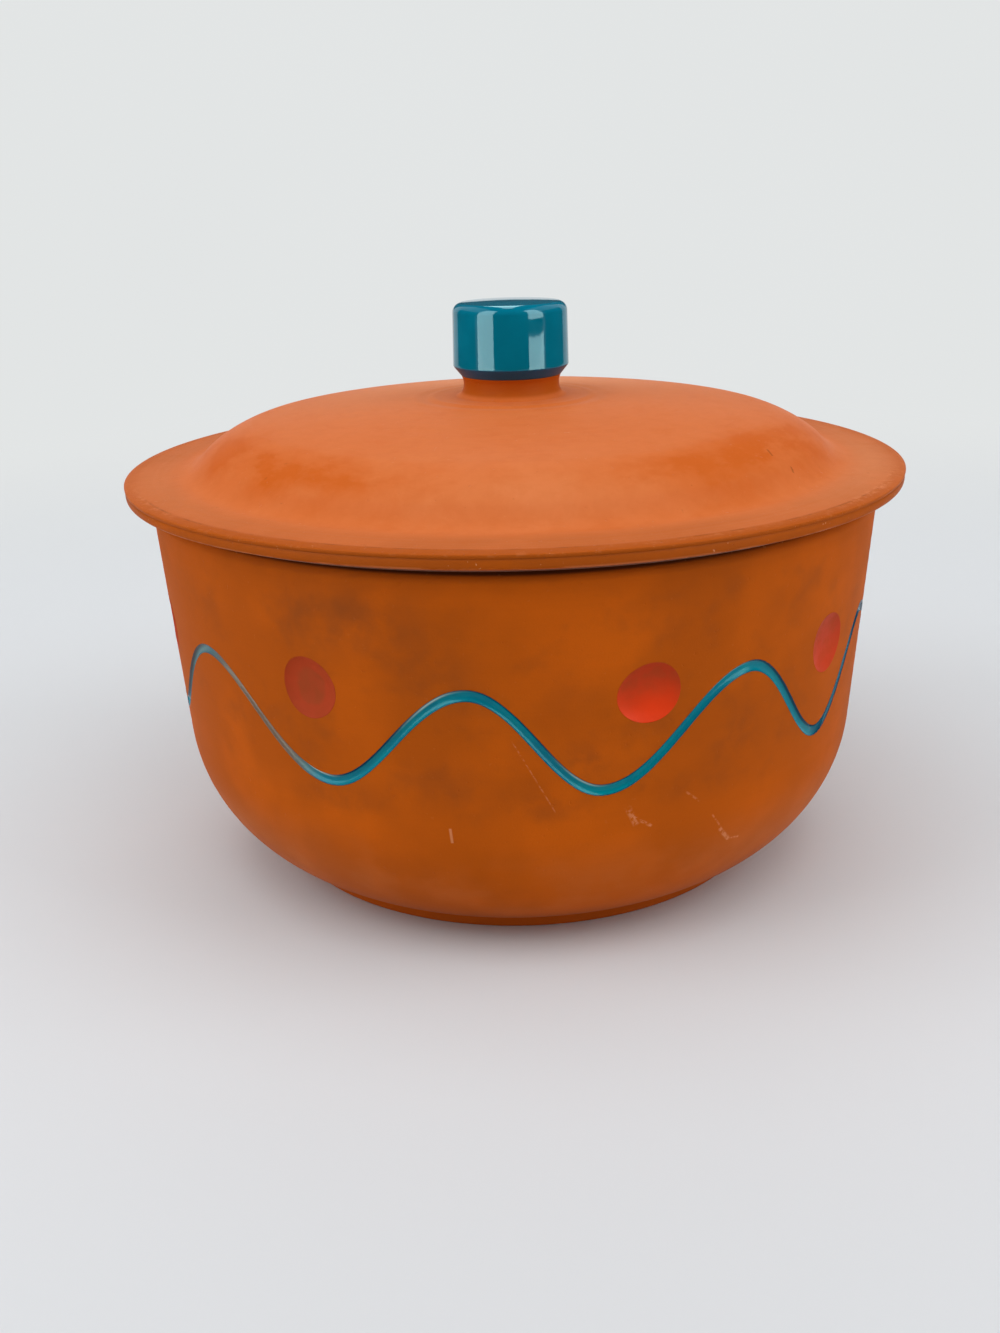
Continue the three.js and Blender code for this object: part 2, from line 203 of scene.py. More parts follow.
class FinishSettings(bpy.types.PropertyGroup):
    """Colours of the clays and glazes."""

    pot_clay: tint("Pot clay", "Fired red clay of the pot", (0.455, 0.084, 0.0020))
    pot_warm: tint("Pot clay, bare", "Warmer places where the pot is clean", (0.60, 0.108, 0.002))
    pot_smudge: tint("Pot smudge", "Oily kitchen smudges on the pot", (0.27, 0.060, 0.008))
    lid_clay: tint("Lid clay", "Fired red clay of the lid", (0.64, 0.155, 0.037))
    lid_warm: tint("Lid clay, warm", "Warmer places on the lid", (0.57, 0.102, 0.006))
    lid_brim: tint("Lid clay, brim", "Duller clay of the handled brim", (0.47, 0.110, 0.020))
    # A pale dusty colour on scuffed clay, also used as painted sheen on the lid and on the pot's lower
    # flanks
    bloom_and_sheen: tint("Bloom", "Pale dusty bloom on rubbed clay", (0.74, 0.27, 0.11))
    chip: tint("Chip", "Pale flecks where an edge is chipped", (0.76, 0.36, 0.17))
    # Some dirt, and painted shade, in the gap where the lid meets the rim
    grime_and_shade: tint("Grime", "Dark grime where the lid meets the rim", (0.045, 0.009, 0.002))
    teal: tint("Teal glaze", "Teal glaze of the knob and the wave line", (0.0, 0.163, 0.252))
    # Also used as painted shade in the wave's groove
    teal_deep: tint("Teal glaze, deep", "Teal glaze where it lies thick", (0.0, 0.034, 0.080))
    # Darker partly as painted shade on a face that looks down
    teal_under: tint("Teal glaze, under", "Glaze on the slanting face under the knob", (0.0, 0.085, 0.20))
    red: tint("Red glaze", "Red glaze of the dots", (0.56, 0.036, 0.006))
    # Glaze run together, and painted light on the slope of a press that faces up
    red_bright: tint("Red glaze, pooled", "Red glaze where it has run together", (0.88, 0.046, 0.002))
    red_deep: tint("Red glaze, worn", "Red glaze where it is thin and dull", (0.34, 0.052, 0.011))
    film: tint("Wave glaze, dull", "Brownish film on the dull stretch of the wave", (0.27, 0.15, 0.085))
    # Painted shade on the upper side of the wave's dull stretch
    dull_stretch_shade: tint("Wave glaze, dark", "Dark upper side of the dull stretch", (0.035, 0.022, 0.012))
    # Colour of painted glints on the wave's upper edge
    thin: tint("Wave glaze, thin", "Pale marks where the wave's glaze is thin", (0.62, 0.78, 0.70))
    lining: tint("Clear glaze", "Clear glaze over red clay", (0.24, 0.055, 0.012))


class StageSettings(bpy.types.PropertyGroup):
    """The floor, the lamps and the camera."""

    floor: tint("Floor", "Colour of the floor", (0.69, 0.712, 0.735))
    wall: tint("Backdrop", "Colour of the backdrop", (0.77, 0.79, 0.79))
    overhead: power("Overhead", "Power of the lamp overhead", 12)
    side: power("Sides", "Power of each lamp at the sides", 6.5)
    behind: power("Behind", "Power of the lamp behind", 1.8)
    window: FloatProperty(
        name="Windows", description="Radiance of the windows in the glaze", default=9.4, min=0)
    daylight: tint("Daylight", "Colour of the windows in the glaze", (0.66, 1, 1))
    ambient: share("Ambient", "Level of the light from all round", 0.31)
    distance: length("Camera distance", "Camera in front of the axis", 477.48 * MM)
    height: length("Camera height", "Camera above the table", 226.72 * MM)
    aside: length("Camera aside", "Camera to the left of the axis", 0.6 * MM)
    pitch: angle("Camera pitch", "How far the camera looks down", 19.47)
    yaw: angle("Camera yaw", "How far the camera turns to the left", 0.7)
    roll: angle("Camera roll", "How far the camera leans to the right", 1.55)
    focal: length("Focal length", "For a sensor whose long side is 36 mm", 37.81 * MM)


class DishSettings(bpy.types.PropertyGroup):
    """All the settings of the dish and its stage."""

    pot: PointerProperty(type=PotSettings)
    marks: PointerProperty(type=MarkSettings)
    lid: PointerProperty(type=LidSettings)
    knob: PointerProperty(type=KnobSettings)
    finish: PointerProperty(type=FinishSettings)
    stage: PointerProperty(type=StageSettings)


# Lines and surfaces


def straight(start, end, count):
    """Evenly spaced points from start to end."""
    return np.linspace(start, end, count)


def arc(centre, radius, start, end, count):
    """Points at even angles on a circle, by the cosine and the sine of each angle."""
    turn = np.linspace(start, end, count)
    return np.stack([centre[0] + radius * np.cos(turn), centre[1] + radius * np.sin(turn)], 1)


def bezier(a, b, c, d, count):
    """Points of the cubic whose four weights are (1-t)^3, 3t(1-t)^2, 3t^2(1-t) and t^3."""
    t = np.linspace(0, 1, count)[:, None]
    s = 1 - t
    a, b, c, d = (np.asarray(p, float) for p in (a, b, c, d))
    return s**3 * a + 3 * t * s**2 * b + 3 * t**2 * s * c + t**3 * d


def joined(*parts):
    """Lines end to end, without repeated points."""
    line = np.concatenate(parts)
    steps = np.linalg.norm(np.diff(line, axis=0), axis=1)
    return line[np.concatenate([[True], steps > 1e-6])]


def moved_in(line, distance):
    """An open line moved by a distance to the left of the way it runs, along its averaged normals."""
    along = np.gradient(line, axis=0)
    along /= np.linalg.norm(along, axis=1, keepdims=True)
    return line + distance * np.stack([-along[:, 1], along[:, 0]], 1)


def grid_faces(rows, columns, wraps):
    """Corner numbers of a grid's quads, as rows by columns by 4. Columns always close, and rows may."""
    i = np.arange(rows if wraps else rows - 1)[:, None]
    j = np.arange(columns)[None, :]
    right = (j + 1) % columns
    above = (i + 1) % rows
    corners = (i * columns + j, i * columns + right, above * columns + right, above * columns + j)
    return np.stack(np.broadcast_arrays(*corners), -1)


def border(grid):
    """The edge of a grid, once round from its first corner and along its first row first."""
    return np.concatenate([grid[0, :-1], grid[:-1, -1], grid[-1, :0:-1], grid[:0:-1, 0]])


def around(radius, height, bearing):
    """Points at a radius, height and bearing, which may be arrays of any matching shapes."""
    radius, height, bearing = np.broadcast_arrays(radius, height, bearing)
    return np.stack([radius * np.sin(bearing), -radius * np.cos(bearing), height], -1).reshape(-1, 3)


def fan(ring, tip):
    """Triangles from each side of a ring of corner numbers to its tip."""
    return np.stack([ring, np.roll(ring, -1), np.full(len(ring), tip)], 1).tolist()


def add_mesh(name, points, faces, material):
    """A mesh from points and lists of faces, with its material."""
    mesh = bpy.data.meshes.new(name)
    mesh.from_pydata(points, [], faces)
    mesh.materials.append(material)
    made = bpy.data.objects.new(name, mesh)
    bpy.context.scene.collection.objects.link(made)
    return made


def add_piece(name, mesh, material, body, slot, replaces, **measures):
    """A smooth mesh that rides on a body and stands for CAD nodes, with any measures of its points."""
    piece = add_mesh(name, *mesh, material)
    piece.data.shade_smooth()
    for key, values in measures.items():
        piece.data.attributes.new(key, "FLOAT", "POINT").data.foreach_set("value", values)
    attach(piece, body)
    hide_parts(*replaces)


def turned(radius, height, bearing, poles=None):
    """Points and faces of rows of radius and height carried round the axis. Without poles the rows close
    into a ring. With poles, the heights of two points on the axis, a fan closes each end."""
    rows, columns = np.broadcast_shapes(radius.shape, height.shape, bearing.shape)
    points = around(radius, height, bearing[None, :])
    faces = grid_faces(rows, columns, poles is None).reshape(-1, 4).tolist()
    if poles is not None:
        points = np.concatenate([points, [[0, 0, poles[0]], [0, 0, poles[1]]]])
        ring = np.arange(columns)
        faces += fan(ring[::-1], rows * columns) + fan((rows - 1) * columns + ring, rows * columns + 1)
    return points, faces


def bearings(columns):
    """Even bearings all round."""
    return np.arange(columns) * TURN / columns


def lathed(section, columns):
    """A section of radius and height carried round the axis, with a pole level with each of its ends."""
    return turned(section[:, :1], section[:, 1:], bearings(columns), (section[0, 1], section[-1, 1]))


# Pot


def wall_radius(pot, z):
    """Outside radius of the leaning wall: the rim's, less the drop from the rim times the lean's tangent."""
    return pot.rim_radius - math.tan(pot.lean) * (pot.rim_height - z)


def on_wall(pot, z):
    """The radius and height of the wall line at a height."""
    return wall_radius(pot, z), z


def unevenness(pot, bearing, z):
    """How far the thrown wall stands out at a bearing and height: a slow two and three sided sway, and a
    fine ridge that climbs a little with each turn."""
    climb = z / (4.6 * MM)
    sway = 0.6 * np.sin(2 * bearing + 0.6) + 0.4 * np.sin(3 * bearing + 2.1 + z / (25 * MM))
    return pot.sway * sway + pot.ridge * np.sin(TURN * climb + bearing) * np.sin(climb)


def wave_turns(marks):
    """Bearings of the crests (even places) and troughs (odd places)."""
    count = 2 * marks.waves
    stray = np.radians(np.resize(WAVE_STRAY, count))
    return marks.first_bearing + np.arange(count) * TURN / count + stray


def wave_height(marks, bearing):
    """Height of the wave line and its slope per radian: half a cosine from each turn to the next."""
    turns = wave_turns(marks)
    turns = np.append(turns, turns[0] + TURN)
    turn = turns[0] + (bearing - turns[0]) % TURN
    k = np.clip(np.searchsorted(turns, turn, side="right") - 1, 0, len(turns) - 2)
    span = turns[k + 1] - turns[k]
    phase = math.pi * ((turn - turns[k]) / span + k % 2)
    return marks.middle + marks.rise * np.cos(phase), -marks.rise * np.sin(phase) * math.pi / span


def beside_wave(pot, marks, bearing, offset):
    """Height of a point on the wall at a bearing and an offset square to the wave line: the offset is
    stretched by the root of 1 + slope^2, as a slanting line's upright width is, and shrinks where the line
    is steep and, by a bell of the bearing, where it was cut lightly."""
    z, slope = wave_height(marks, bearing)
    slope = slope / wall_radius(pot, z)
    away = (bearing - marks.light_bearing + math.pi) % TURN - math.pi
    light = marks.light_cut * np.exp(-((away / marks.light_spread) ** 2))
    thin = 1 - marks.thinning * np.clip(slope**2, 0, 1) - light
    return z + offset * thin * np.sqrt(1 + slope**2)


def belly_line(pot):
    """The round of the belly, from the top of the foot to where it touches the wall line. Its centre lies
    one radius inside the wall line, at the height where it also passes the foot's top edge."""
    slope = math.tan(pot.lean)
    start = np.array([pot.foot_radius + pot.foot_step, pot.foot_height])
    line_at_zero = wall_radius(pot, 0) - pot.belly_round / math.cos(pot.lean)
    reach = start[0] - line_at_zero
    half = slope * reach + start[1]
    square = 1 + slope**2
    rest = reach**2 + start[1] ** 2 - pot.belly_round**2
    centre_z = (half + math.sqrt(half**2 - square * rest)) / square
    centre = np.array([line_at_zero + slope * centre_z, centre_z])
    first = math.atan2(start[1] - centre[1], start[0] - centre[0])
    return arc(centre, pot.belly_round, first, -pot.lean, 34)


def inside_line(pot, inset, top):
    """Inside of the pot, an inset in from the clay, from its mouth down to near the middle of the floor."""
    def inner(z):
        return wall_radius(pot, z) - (pot.wall + inset) / math.cos(pot.lean)

    round_radius = pot.floor_round - inset
    centre_z = pot.floor + pot.floor_round
    centre = (inner(centre_z) - round_radius / math.cos(pot.lean), centre_z)
    bend = arc(centre, round_radius, -pot.lean, -math.pi / 2, 26)
    floor_z = pot.floor + inset
    return joined(
        straight((inner(top), top), bend[0], 18),
        bend,
        straight((centre[0], floor_z), (INNERMOST, floor_z), 14))


def dot_outline(index, turn):
    """How much larger than its oval a pressed dot is in a direction, a little different for each."""
    return 1 + 0.028 * np.cos(2 * turn + 2.9 * (index + 1)) + 0.016 * np.cos(3 * turn + 2.7 * index)


def dot_place(pot, marks, index, turn, reach):
    """Bearing and height of a place on a dot: reach is 0 at its middle and 1 on its outline."""
    size = reach * dot_outline(index, turn)
    across = marks.dot_wide / 2 * size * np.cos(turn)
    up = marks.dot_tall / 2 * size * np.sin(turn)
    return DOT_BEARINGS[index] + across / wall_radius(pot, DOT_HEIGHT), DOT_HEIGHT + up


def pot_surface(pot, marks):
    """Radius and height of the whole pot, the first row above the groove and the number of rows there. Rows
    run from the middle of the foot out and up to the rim and down the inside. Between the belly and the rim
    they follow the carved wave: level at both ends of that band, and side by side with the wave line in its
    middle, where the groove's half round is pressed in."""
    bearing = bearings(POT_COLUMNS)
    r, h, edge = pot.rim_radius, pot.rim_height, pot.foot_edge
    belly = belly_line(pot)
    band_low, band_high = belly[-1, 1] + 1.2 * MM, h - 9.5 * MM
    below = joined(
        straight((INNERMOST, 0), (pot.foot_radius - edge, 0), 12),
        arc((pot.foot_radius - edge, edge), edge, -math.pi / 2, 0, 5),
        straight((pot.foot_radius, edge), (pot.foot_radius, pot.foot_height - 0.4 * MM), 4),
        belly,
        [on_wall(pot, band_low)])
    rim = pot.rim_round
    inner = r - pot.wall / math.cos(pot.lean)
    above = joined(
        straight(on_wall(pot, band_high), on_wall(pot, h - 2.4 * rim), 9),
        bezier(on_wall(pot, h - 2 * rim), (r - 0.1 * MM, h - rim), (r - rim, h), (r - 1.9 * rim, h), 12),
        straight((r - 2 * rim, h), (inner + rim, h), 5),
        arc((inner + rim, h - rim), rim, math.pi / 2, math.pi, 6),
        inside_line(pot, 0, h - 2 * rim))
    half = marks.groove / 2
    side = half * np.array([0.4, 0.7, 0.88, 0.97, 1.03, 1.15, 1.35])
    offset = np.concatenate([-side[::-1], [0], side])
    pressed = -marks.depth * np.sqrt(np.clip(1 - (offset / half) ** 2, 0, None))
    groove_z = beside_wave(pot, marks, bearing[None, :], offset[:, None])
    t = np.linspace(0, 1, 23)[1:-1, None]
    rising = band_low + (groove_z[0] - band_low) * t
    s = np.linspace(0, 1, 43)[1:-1, None]
    leaving = groove_z[-1] + (band_high - groove_z[-1]) * s
    band_z = np.concatenate([rising, groove_z, leaving])
    level = np.concatenate([np.zeros(len(t)), pressed, np.zeros(len(s))])[:, None]
    band_r = wall_radius(pot, band_z) + level
    wide = np.ones(POT_COLUMNS)
    radius = np.concatenate([below[:, :1] * wide, band_r, above[:, :1] * wide])
    height = np.concatenate([below[:, 1:] * wide, band_z, above[:, 1:] * wide])
    outer = (radius > pot.foot_radius) & (height > pot.foot_height)
    # The wall's unevenness ends in the rim's rounding
    rows_to_rim = len(below) + len(band_z) + 14
    outer[rows_to_rim:] = False
    radius += outer * unevenness(pot, bearing, height)
    first_above = len(below) + len(t) + len(offset)
    return radius, height, first_above, len(s)


def dot_patch(pot, marks, index, loop_bearing, loop_height):
    """Rings that fit a pressed dot into the opening left for it in the wall. The outer rings pass from the
    opening's edge to the dot's outline, evenly. The inner ones go down the press: its depth is the full one
    times 1 - reach^6, so that its sides are steep and the pool of glaze covers its bottom."""
    across = (loop_bearing - DOT_BEARINGS[index]) * wall_radius(pot, DOT_HEIGHT)
    up = loop_height - DOT_HEIGHT
    turn = np.arctan2(up / marks.dot_tall, across / marks.dot_wide)
    edge_bearing, edge_height = dot_place(pot, marks, index, turn[None, :], 0.985)
    t = np.array([0.25, 0.5, 0.72, 0.88, 0.96, 1])[:, None]
    outer_bearing = loop_bearing * (1 - t) + edge_bearing * t
    outer_height = loop_height * (1 - t) + edge_height * t
    reach = np.array([0.97, 0.93, 0.86, 0.7, 0.45, 0.2])[:, None]
    inner_bearing, inner_height = dot_place(pot, marks, index, turn[None, :], reach)
    bearing = np.concatenate([outer_bearing, inner_bearing])
    height = np.concatenate([outer_height, inner_height])
    level = np.concatenate([np.zeros(len(t)), -marks.dot_depth * (1 - reach[:, 0] ** 6)])
    radius = wall_radius(pot, height) + unevenness(pot, bearing, height) + level[:, None]
    middle = wall_radius(pot, DOT_HEIGHT) - marks.dot_depth
    centre = around(middle, DOT_HEIGHT, DOT_BEARINGS[index])
    return np.concatenate([around(radius, height, bearing), centre]), len(bearing)


def pot_mesh(pot, marks):
    """The turned pot with an opening of whole quads in its wall for each dot, closed by that dot's patch."""
    radius, height, first_above, rows_above = pot_surface(pot, marks)
    rows, columns = radius.shape
    bearing = bearings(columns)
    points, faces = turned(radius, height, bearing, (0, pot.floor))
    fans = faces[(rows - 1) * columns:]
    quads = grid_faces(rows, columns, False)
    kept = np.ones(quads.shape[:2], bool)
    # An opening takes these shares of the rows above the groove, and 1.2 times the dot's width in columns
    low = first_above + round(0.06 * rows_above)
    high = first_above + round(0.76 * rows_above)
    side = math.ceil(marks.dot_wide / 2 * 1.2 / pot.rim_radius / (TURN / columns))
    patches, patch_faces = [], []
    base = len(points)
    for index, dot_bearing in enumerate(DOT_BEARINGS):
        middle = round(dot_bearing / (TURN / columns))
        across = np.arange(middle - side, middle + side + 1)
        kept[low:high, across[:-1] % columns] = False
        row, column = map(border, np.broadcast_arrays(np.arange(low, high + 1)[:, None], across))
        loop = row * columns + column % columns
        ring, count = dot_patch(pot, marks, index, column * TURN / columns, height[row, column % columns])
        size = len(loop)
        numbers = np.concatenate([loop[None, :], base + np.arange(count * size).reshape(count, size)])
        after = np.roll(numbers, -1, axis=1)
        between = np.stack([numbers[:-1], after[:-1], after[1:], numbers[1:]], -1).reshape(-1, 4)
        patches.append(ring)
        patch_faces += between.tolist() + fan(numbers[-1], base + count * size)
        base += len(ring)
    return np.concatenate([points, *patches]), quads[kept].tolist() + fans + patch_faces


def wave_mesh(pot, marks):
    """The glaze in the groove. Its section is a closed line of offsets and levels: a hollow (1 -
    offset^2)^0.8 deep from lip to lip, and back along a deeper half round that stays in the clay. The last
    array tells how far across each point is, from -1 at the groove's lower edge to 1 at its upper one."""
    bearing = bearings(WAVE_COLUMNS)
    t = np.linspace(-1, 1, 17)
    hollow = 0.06 * MM - marks.glaze_depth * (1 - t**2) ** 0.8
    back = np.linspace(1, -1, 9)[1:-1]
    under = -marks.depth * 1.15 * np.sqrt(1 - back**2) - 0.1 * MM
    offset = marks.groove / 2 * np.concatenate([1.05 * t, back])[:, None]
    level = np.concatenate([hollow, under])[:, None]
    z = beside_wave(pot, marks, bearing[None, :], offset)
    radius = wall_radius(pot, z) + unevenness(pot, bearing[None, :], z) + level
    across = np.broadcast_to(offset / marks.groove * 2, z.shape)
    return *turned(radius, z, bearing), across.ravel()


def dot_mesh(pot, marks, index):
    """A pool of glaze in its press: a round grid whose hollow is 1 - reach^steep deep, steeper on one side
    than on the other, with a rim that just covers the edge of the clay, closed by a flat back inside the
    clay. The last array tells how far out each point is, from 0 in the middle to 1 on the outline."""
    turn = bearings(DOT_COLUMNS)
    reach = np.array([1, 0.99, 0.97, 0.94, 0.9, 0.84, 0.76, 0.66, 0.54, 0.4, 0.26, 0.12])[:, None]
    bearing, z = dot_place(pot, marks, index, turn[None, :], reach)
    steep = 3.2 + 1.2 * np.cos(turn - 2.4)[None, :]
    level = 0.05 * MM - marks.dot_hollow * (1 - reach**steep)
    level = np.concatenate([np.full((1, DOT_COLUMNS), -0.5 * MM), level])
    bearing = np.concatenate([bearing[:1], bearing])
    z = np.concatenate([z[:1], z])
    radius = wall_radius(pot, z) + unevenness(pot, bearing, z) + level
    front = around(radius, z, bearing)
    outward = np.concatenate([reach[:1], reach]) * np.ones(DOT_COLUMNS)
    rows = len(radius)
    middle = wall_radius(pot, DOT_HEIGHT)
    points = np.concatenate([
        front,
        around(middle - marks.dot_hollow + 0.05 * MM, DOT_HEIGHT, DOT_BEARINGS[index]),
        around(middle - marks.dot_depth - 0.6 * MM, DOT_HEIGHT, DOT_BEARINGS[index])])
    ring = np.arange(DOT_COLUMNS)
    tip = rows * DOT_COLUMNS
    faces = grid_faces(rows, DOT_COLUMNS, False).reshape(-1, 4).tolist()
    faces += fan((rows - 1) * DOT_COLUMNS + ring, tip) + fan(ring[::-1], tip + 1)
    return points, faces, np.append(outward.ravel(), [0, 0])


def lining_mesh(line, thickness):
    """A skin of an even thickness on the inside of a line that runs in towards the axis, closed at its mouth
    by a rounded lip and on the axis by a fan on each side."""
    skin = moved_in(line, thickness)
    lip = (line[:1] + skin[:1]) / 2 + [[0, thickness / 2]]
    return lathed(np.concatenate([line[::-1], lip, skin]), LINING_COLUMNS)


# Lid


def crown_line(lid, knob, rings):
    """Top of the lid from the steepest place of the dome in towards the neck: the round shoulder as a cubic,
    then a crown that falls by a share of the distance from the neck and by its square. The bell shaped rings
    beside the neck, where a wet finger ran, are multiplied by the last value."""
    neck, crown = knob.neck_foot + 1.4 * MM, lid.crown
    _, steep, pull = dome_sweep(lid)
    edge = steep + [-lid.shoulder_wide, lid.shoulder_high]
    run, drop = edge[0] - neck, crown - edge[1]
    bend = (drop - CROWN_LEAN * run) / run**2
    slope = CROWN_LEAN + 2 * bend * run
    reach = 0.42 * lid.shoulder_wide
    shoulder = bezier(steep, steep + pull, edge + [reach, -reach * slope], edge, 22)
    r = np.linspace(edge[0], neck, 56)
    ring = 0
    for height, away, wide in ((0.26, 5.5, 1.1), (-0.22, 8, 1.2), (0.14, 12, 1.4)):
        ring = ring + height * MM * np.exp(-(((r - neck - away * MM) / (wide * MM)) ** 2))
    crown_z = crown - CROWN_LEAN * (r - neck) - bend * (r - neck) ** 2 + ring * rings
    return joined(shoulder, np.stack([r, crown_z], 1))


def under_line(lid, knob, depth):
    """Underside of the dome, a depth below its top and without its rings, from the steepest place in to near
    the middle. Inside the neck it is a parabola that takes the crown's lean up to level on the axis."""
    line = moved_in(crown_line(lid, knob, 0), depth)
    end = line[-1]
    r = np.linspace(end[0], INNERMOST, 12)
    return joined(line, np.stack([r, end[1] + CROWN_LEAN / 2 * (end[0] - r**2 / end[0])], 1))


def dome_sweep(lid):
    """The foot of the dome, its steepest place, where the hollow sweep meets the shoulder, and how far the
    handles of both curves reach from there."""
    foot = np.array([POT_TOP.x - lid.dome_inset, lid.seat + lid.brim_up + lid.brim_fall])
    ease = lid.sweep_wide / 4
    return foot, foot + [-lid.sweep_wide, lid.sweep_high], np.array([-ease, ease * 1.05])


def brim_line(lid):
    """From the inside of the ring, round the ring, along the seat, round the brim's edge with its turned
    line and bead, and in along the brim's top to the steepest place of the dome."""
    r, seat, brim = lid.radius, lid.seat, lid.seat + lid.brim_up
    ring, tip, low = lid.ring_radius, LID_LOW.z, lid.seat + lid.brim_up - lid.edge
    line, bead, edge = lid.bead_line, lid.bead, lid.ring_edge
    roll = lid.bead_roll
    foot, steep, pull = dome_sweep(lid)
    lip = 1.2 * MM
    under_bead = brim - bead - 0.15 * MM
    return joined(
        straight((ring - lid.ring, tip + 6 * MM), (ring - lid.ring, tip + edge), 6),
        arc((ring - lid.ring + edge, tip + edge), edge, math.pi, 1.5 * math.pi, 5),
        arc((ring - edge, tip + edge), edge, -math.pi / 2, 0, 5),
        straight((ring, tip + edge), (ring, seat - 0.5 * MM), 6),
        arc((ring + 0.5 * MM, seat - 0.5 * MM), 0.5 * MM, math.pi, math.pi / 2, 4),
        straight((ring + 0.5 * MM, seat), (POT_TOP.x + 1.4 * MM, seat), 9),
        straight((POT_TOP.x + 1.6 * MM, seat + 0.05 * MM), (r - line - lip, low), 8),
        arc((r - line - lip, low + lip), lip, -0.4 * math.pi, 0, 6),
        bezier((r - line, low + lip), (r - line + 0.1 * MM, low + lip + 0.4 * MM),
               (r - line + 0.1 * MM, under_bead - 0.8 * MM), (r - line, under_bead - 0.35 * MM), 8),
        bezier((r - line, under_bead - 0.35 * MM), (r - line - 0.12 * MM, under_bead - 0.2 * MM),
               (r - line - 0.12 * MM, under_bead), (r - line + 0.15 * MM, under_bead + 0.05 * MM), 6),
        arc((r - 0.5 * bead, under_bead + 0.5 * bead), 0.5 * bead, -0.2 * math.pi, 0.1 * math.pi, 6),
        bezier((r - 0.02 * MM, under_bead + 0.7 * bead), (r - 0.3 * bead, brim - 0.2 * MM),
               (r - 0.5 * roll, brim - 0.02 * MM), (r - roll, brim + 0.04 * MM), 14),
        straight((r - roll - 0.4 * MM, brim + 0.05 * MM), foot, 20),
        bezier(foot, foot + [-lid.sweep_wide / 2, 0], steep - pull, steep, 18))


def lid_mesh(lid, knob):
    """The turned lid: its underside out to the ring, the brim, and the dome in to the middle. The top strays
    from level by a slow sway that grows towards the brim, and carries faint turning lines."""
    top = crown_line(lid, knob, 1)
    brim = brim_line(lid)
    under = under_line(lid, knob, lid.thickness)[::-1]
    under = under[under[:, 0] < brim[0, 0] - 9 * MM]
    hollow = bezier(under[-1], under[-1] + [5 * MM, -1.6 * MM], brim[0] + [0, 7 * MM], brim[0], 14)
    line = joined(under, hollow, brim, top, straight(top[-1], (INNERMOST, lid.crown), 8))
    bearing = bearings(LID_COLUMNS)
    radius, height = line[:, :1], line[:, 1:]
    # The rows past the underside and the brim's edge are its top
    rows_to_top = len(under) + len(hollow) + 40
    on_top = np.arange(len(line))[:, None] > rows_to_top
    brim_share = np.clip((radius - 0.6 * lid.radius) / (0.4 * lid.radius), 0, 1)
    sway = 0.10 * MM * brim_share * np.sin(3 * bearing + 0.8)
    lines = 0.018 * MM * np.sin(TURN * radius / (3.1 * MM) + bearing) * np.sin(radius / (2.3 * MM))
    height = height + sway * 0.5 * on_top + lines * on_top
    return turned(radius * np.ones(LID_COLUMNS), height, bearing, (under[0, 1], lid.crown))


# Knob


def knob_line(knob):
    """Outside of the glazed knob from the end of the glaze up the chamfer, round the corner, up the side and
    in over the rounded edge to near the middle of the top, which is very slightly domed."""
    r, corner, top, bend, dip = knob.radius, knob.corner, knob.top, knob.rounding, knob.dome
    low, turn = knob.corner_height, 0.45 * MM
    slant = math.atan2(low - knob.end_height, knob.chamfer)
    lean = 2 * dip / (r - bend)
    edge = np.array([r - bend + bend * math.sin(lean), top - dip - bend + bend * math.cos(lean)])
    return joined(
        straight((corner - knob.chamfer, knob.end_height), (corner - 0.5 * turn, low - 1.1 * turn), 10),
        arc((corner - turn, low), turn, slant - math.pi / 2, 0, 6),
        straight((corner, low), (r, top - dip - bend), 14),
        arc((r - bend, top - dip - bend), bend, 0, math.pi / 2 - lean, 18),
        bezier(edge, edge + [-0.3 * r, 0.3 * r * lean], (0.35 * r, top), (1 * MM, top), 12))


def knob_glaze_mesh(knob):
    """The cap of glaze: its outside, and its inside one thickness in, joined by a rounded lower lip."""
    outside = knob_line(knob)
    inside = moved_in(outside, knob.glaze)[::-1]
    lip = (outside[0] + inside[-1]) / 2 + [0, -0.1 * MM]
    return lathed(np.concatenate([inside, lip[None, :], outside]), KNOB_COLUMNS)


def neck_mesh(lid, knob):
    """The clay under the knob's glaze: a small round that runs out thin on to the crown, the waisted neck,
    and a core that fills the cap."""
    core = moved_in(knob_line(knob), knob.glaze * 0.9)
    core = core[core[:, 1] > knob.end_height + 0.5 * MM]
    foot = lid.crown - 0.15 * MM
    waist = np.array([knob.neck, foot + 4.2 * MM])
    lip = np.array([knob.corner - knob.chamfer - 0.1 * MM, knob.end_height - 0.05 * MM])
    spread = knob.neck_foot
    line = joined(
        straight((INNERMOST, foot), (spread, foot), 5),
        bezier((spread, foot + 0.08 * MM), (knob.neck + 1.3 * MM, foot + 0.1 * MM),
               waist - [0, 2.6 * MM], waist, 18),
        bezier(waist, waist + [0, 1.6 * MM], lip - [0.25 * MM, 0.9 * MM], lip, 10),
        core)
    return lathed(line, KNOB_COLUMNS)


# Finishes


class Wire:
    """An output of a node, on which Python's arithmetic adds Math nodes."""

    def __init__(self, graph, socket):
        self.graph = graph
        self.socket = socket

    def math(self, operation, *others):
        return self.graph.node("ShaderNodeMath", {"operation": operation}, dict(enumerate([self, *others])))

    def __add__(self, other):
        return self.math("ADD", other)

    def __sub__(self, other):
        return self.math("SUBTRACT", other)

    def __rsub__(self, other):
        return (-self).math("ADD", other)

    def __mul__(self, other):
        return self.math("MULTIPLY", other)

    def __truediv__(self, other):
        return self.math("DIVIDE", other)

    def __pow__(self, other):
        return self.math("POWER", other)

    def __neg__(self):
        return self.math("MULTIPLY", -1.0)

    def __abs__(self):
        return self.math("ABSOLUTE")

    __radd__ = __add__
    __rmul__ = __mul__

    def capped(self, most):
        """The value, or the most that it may be."""
        return self.math("MINIMUM", most)


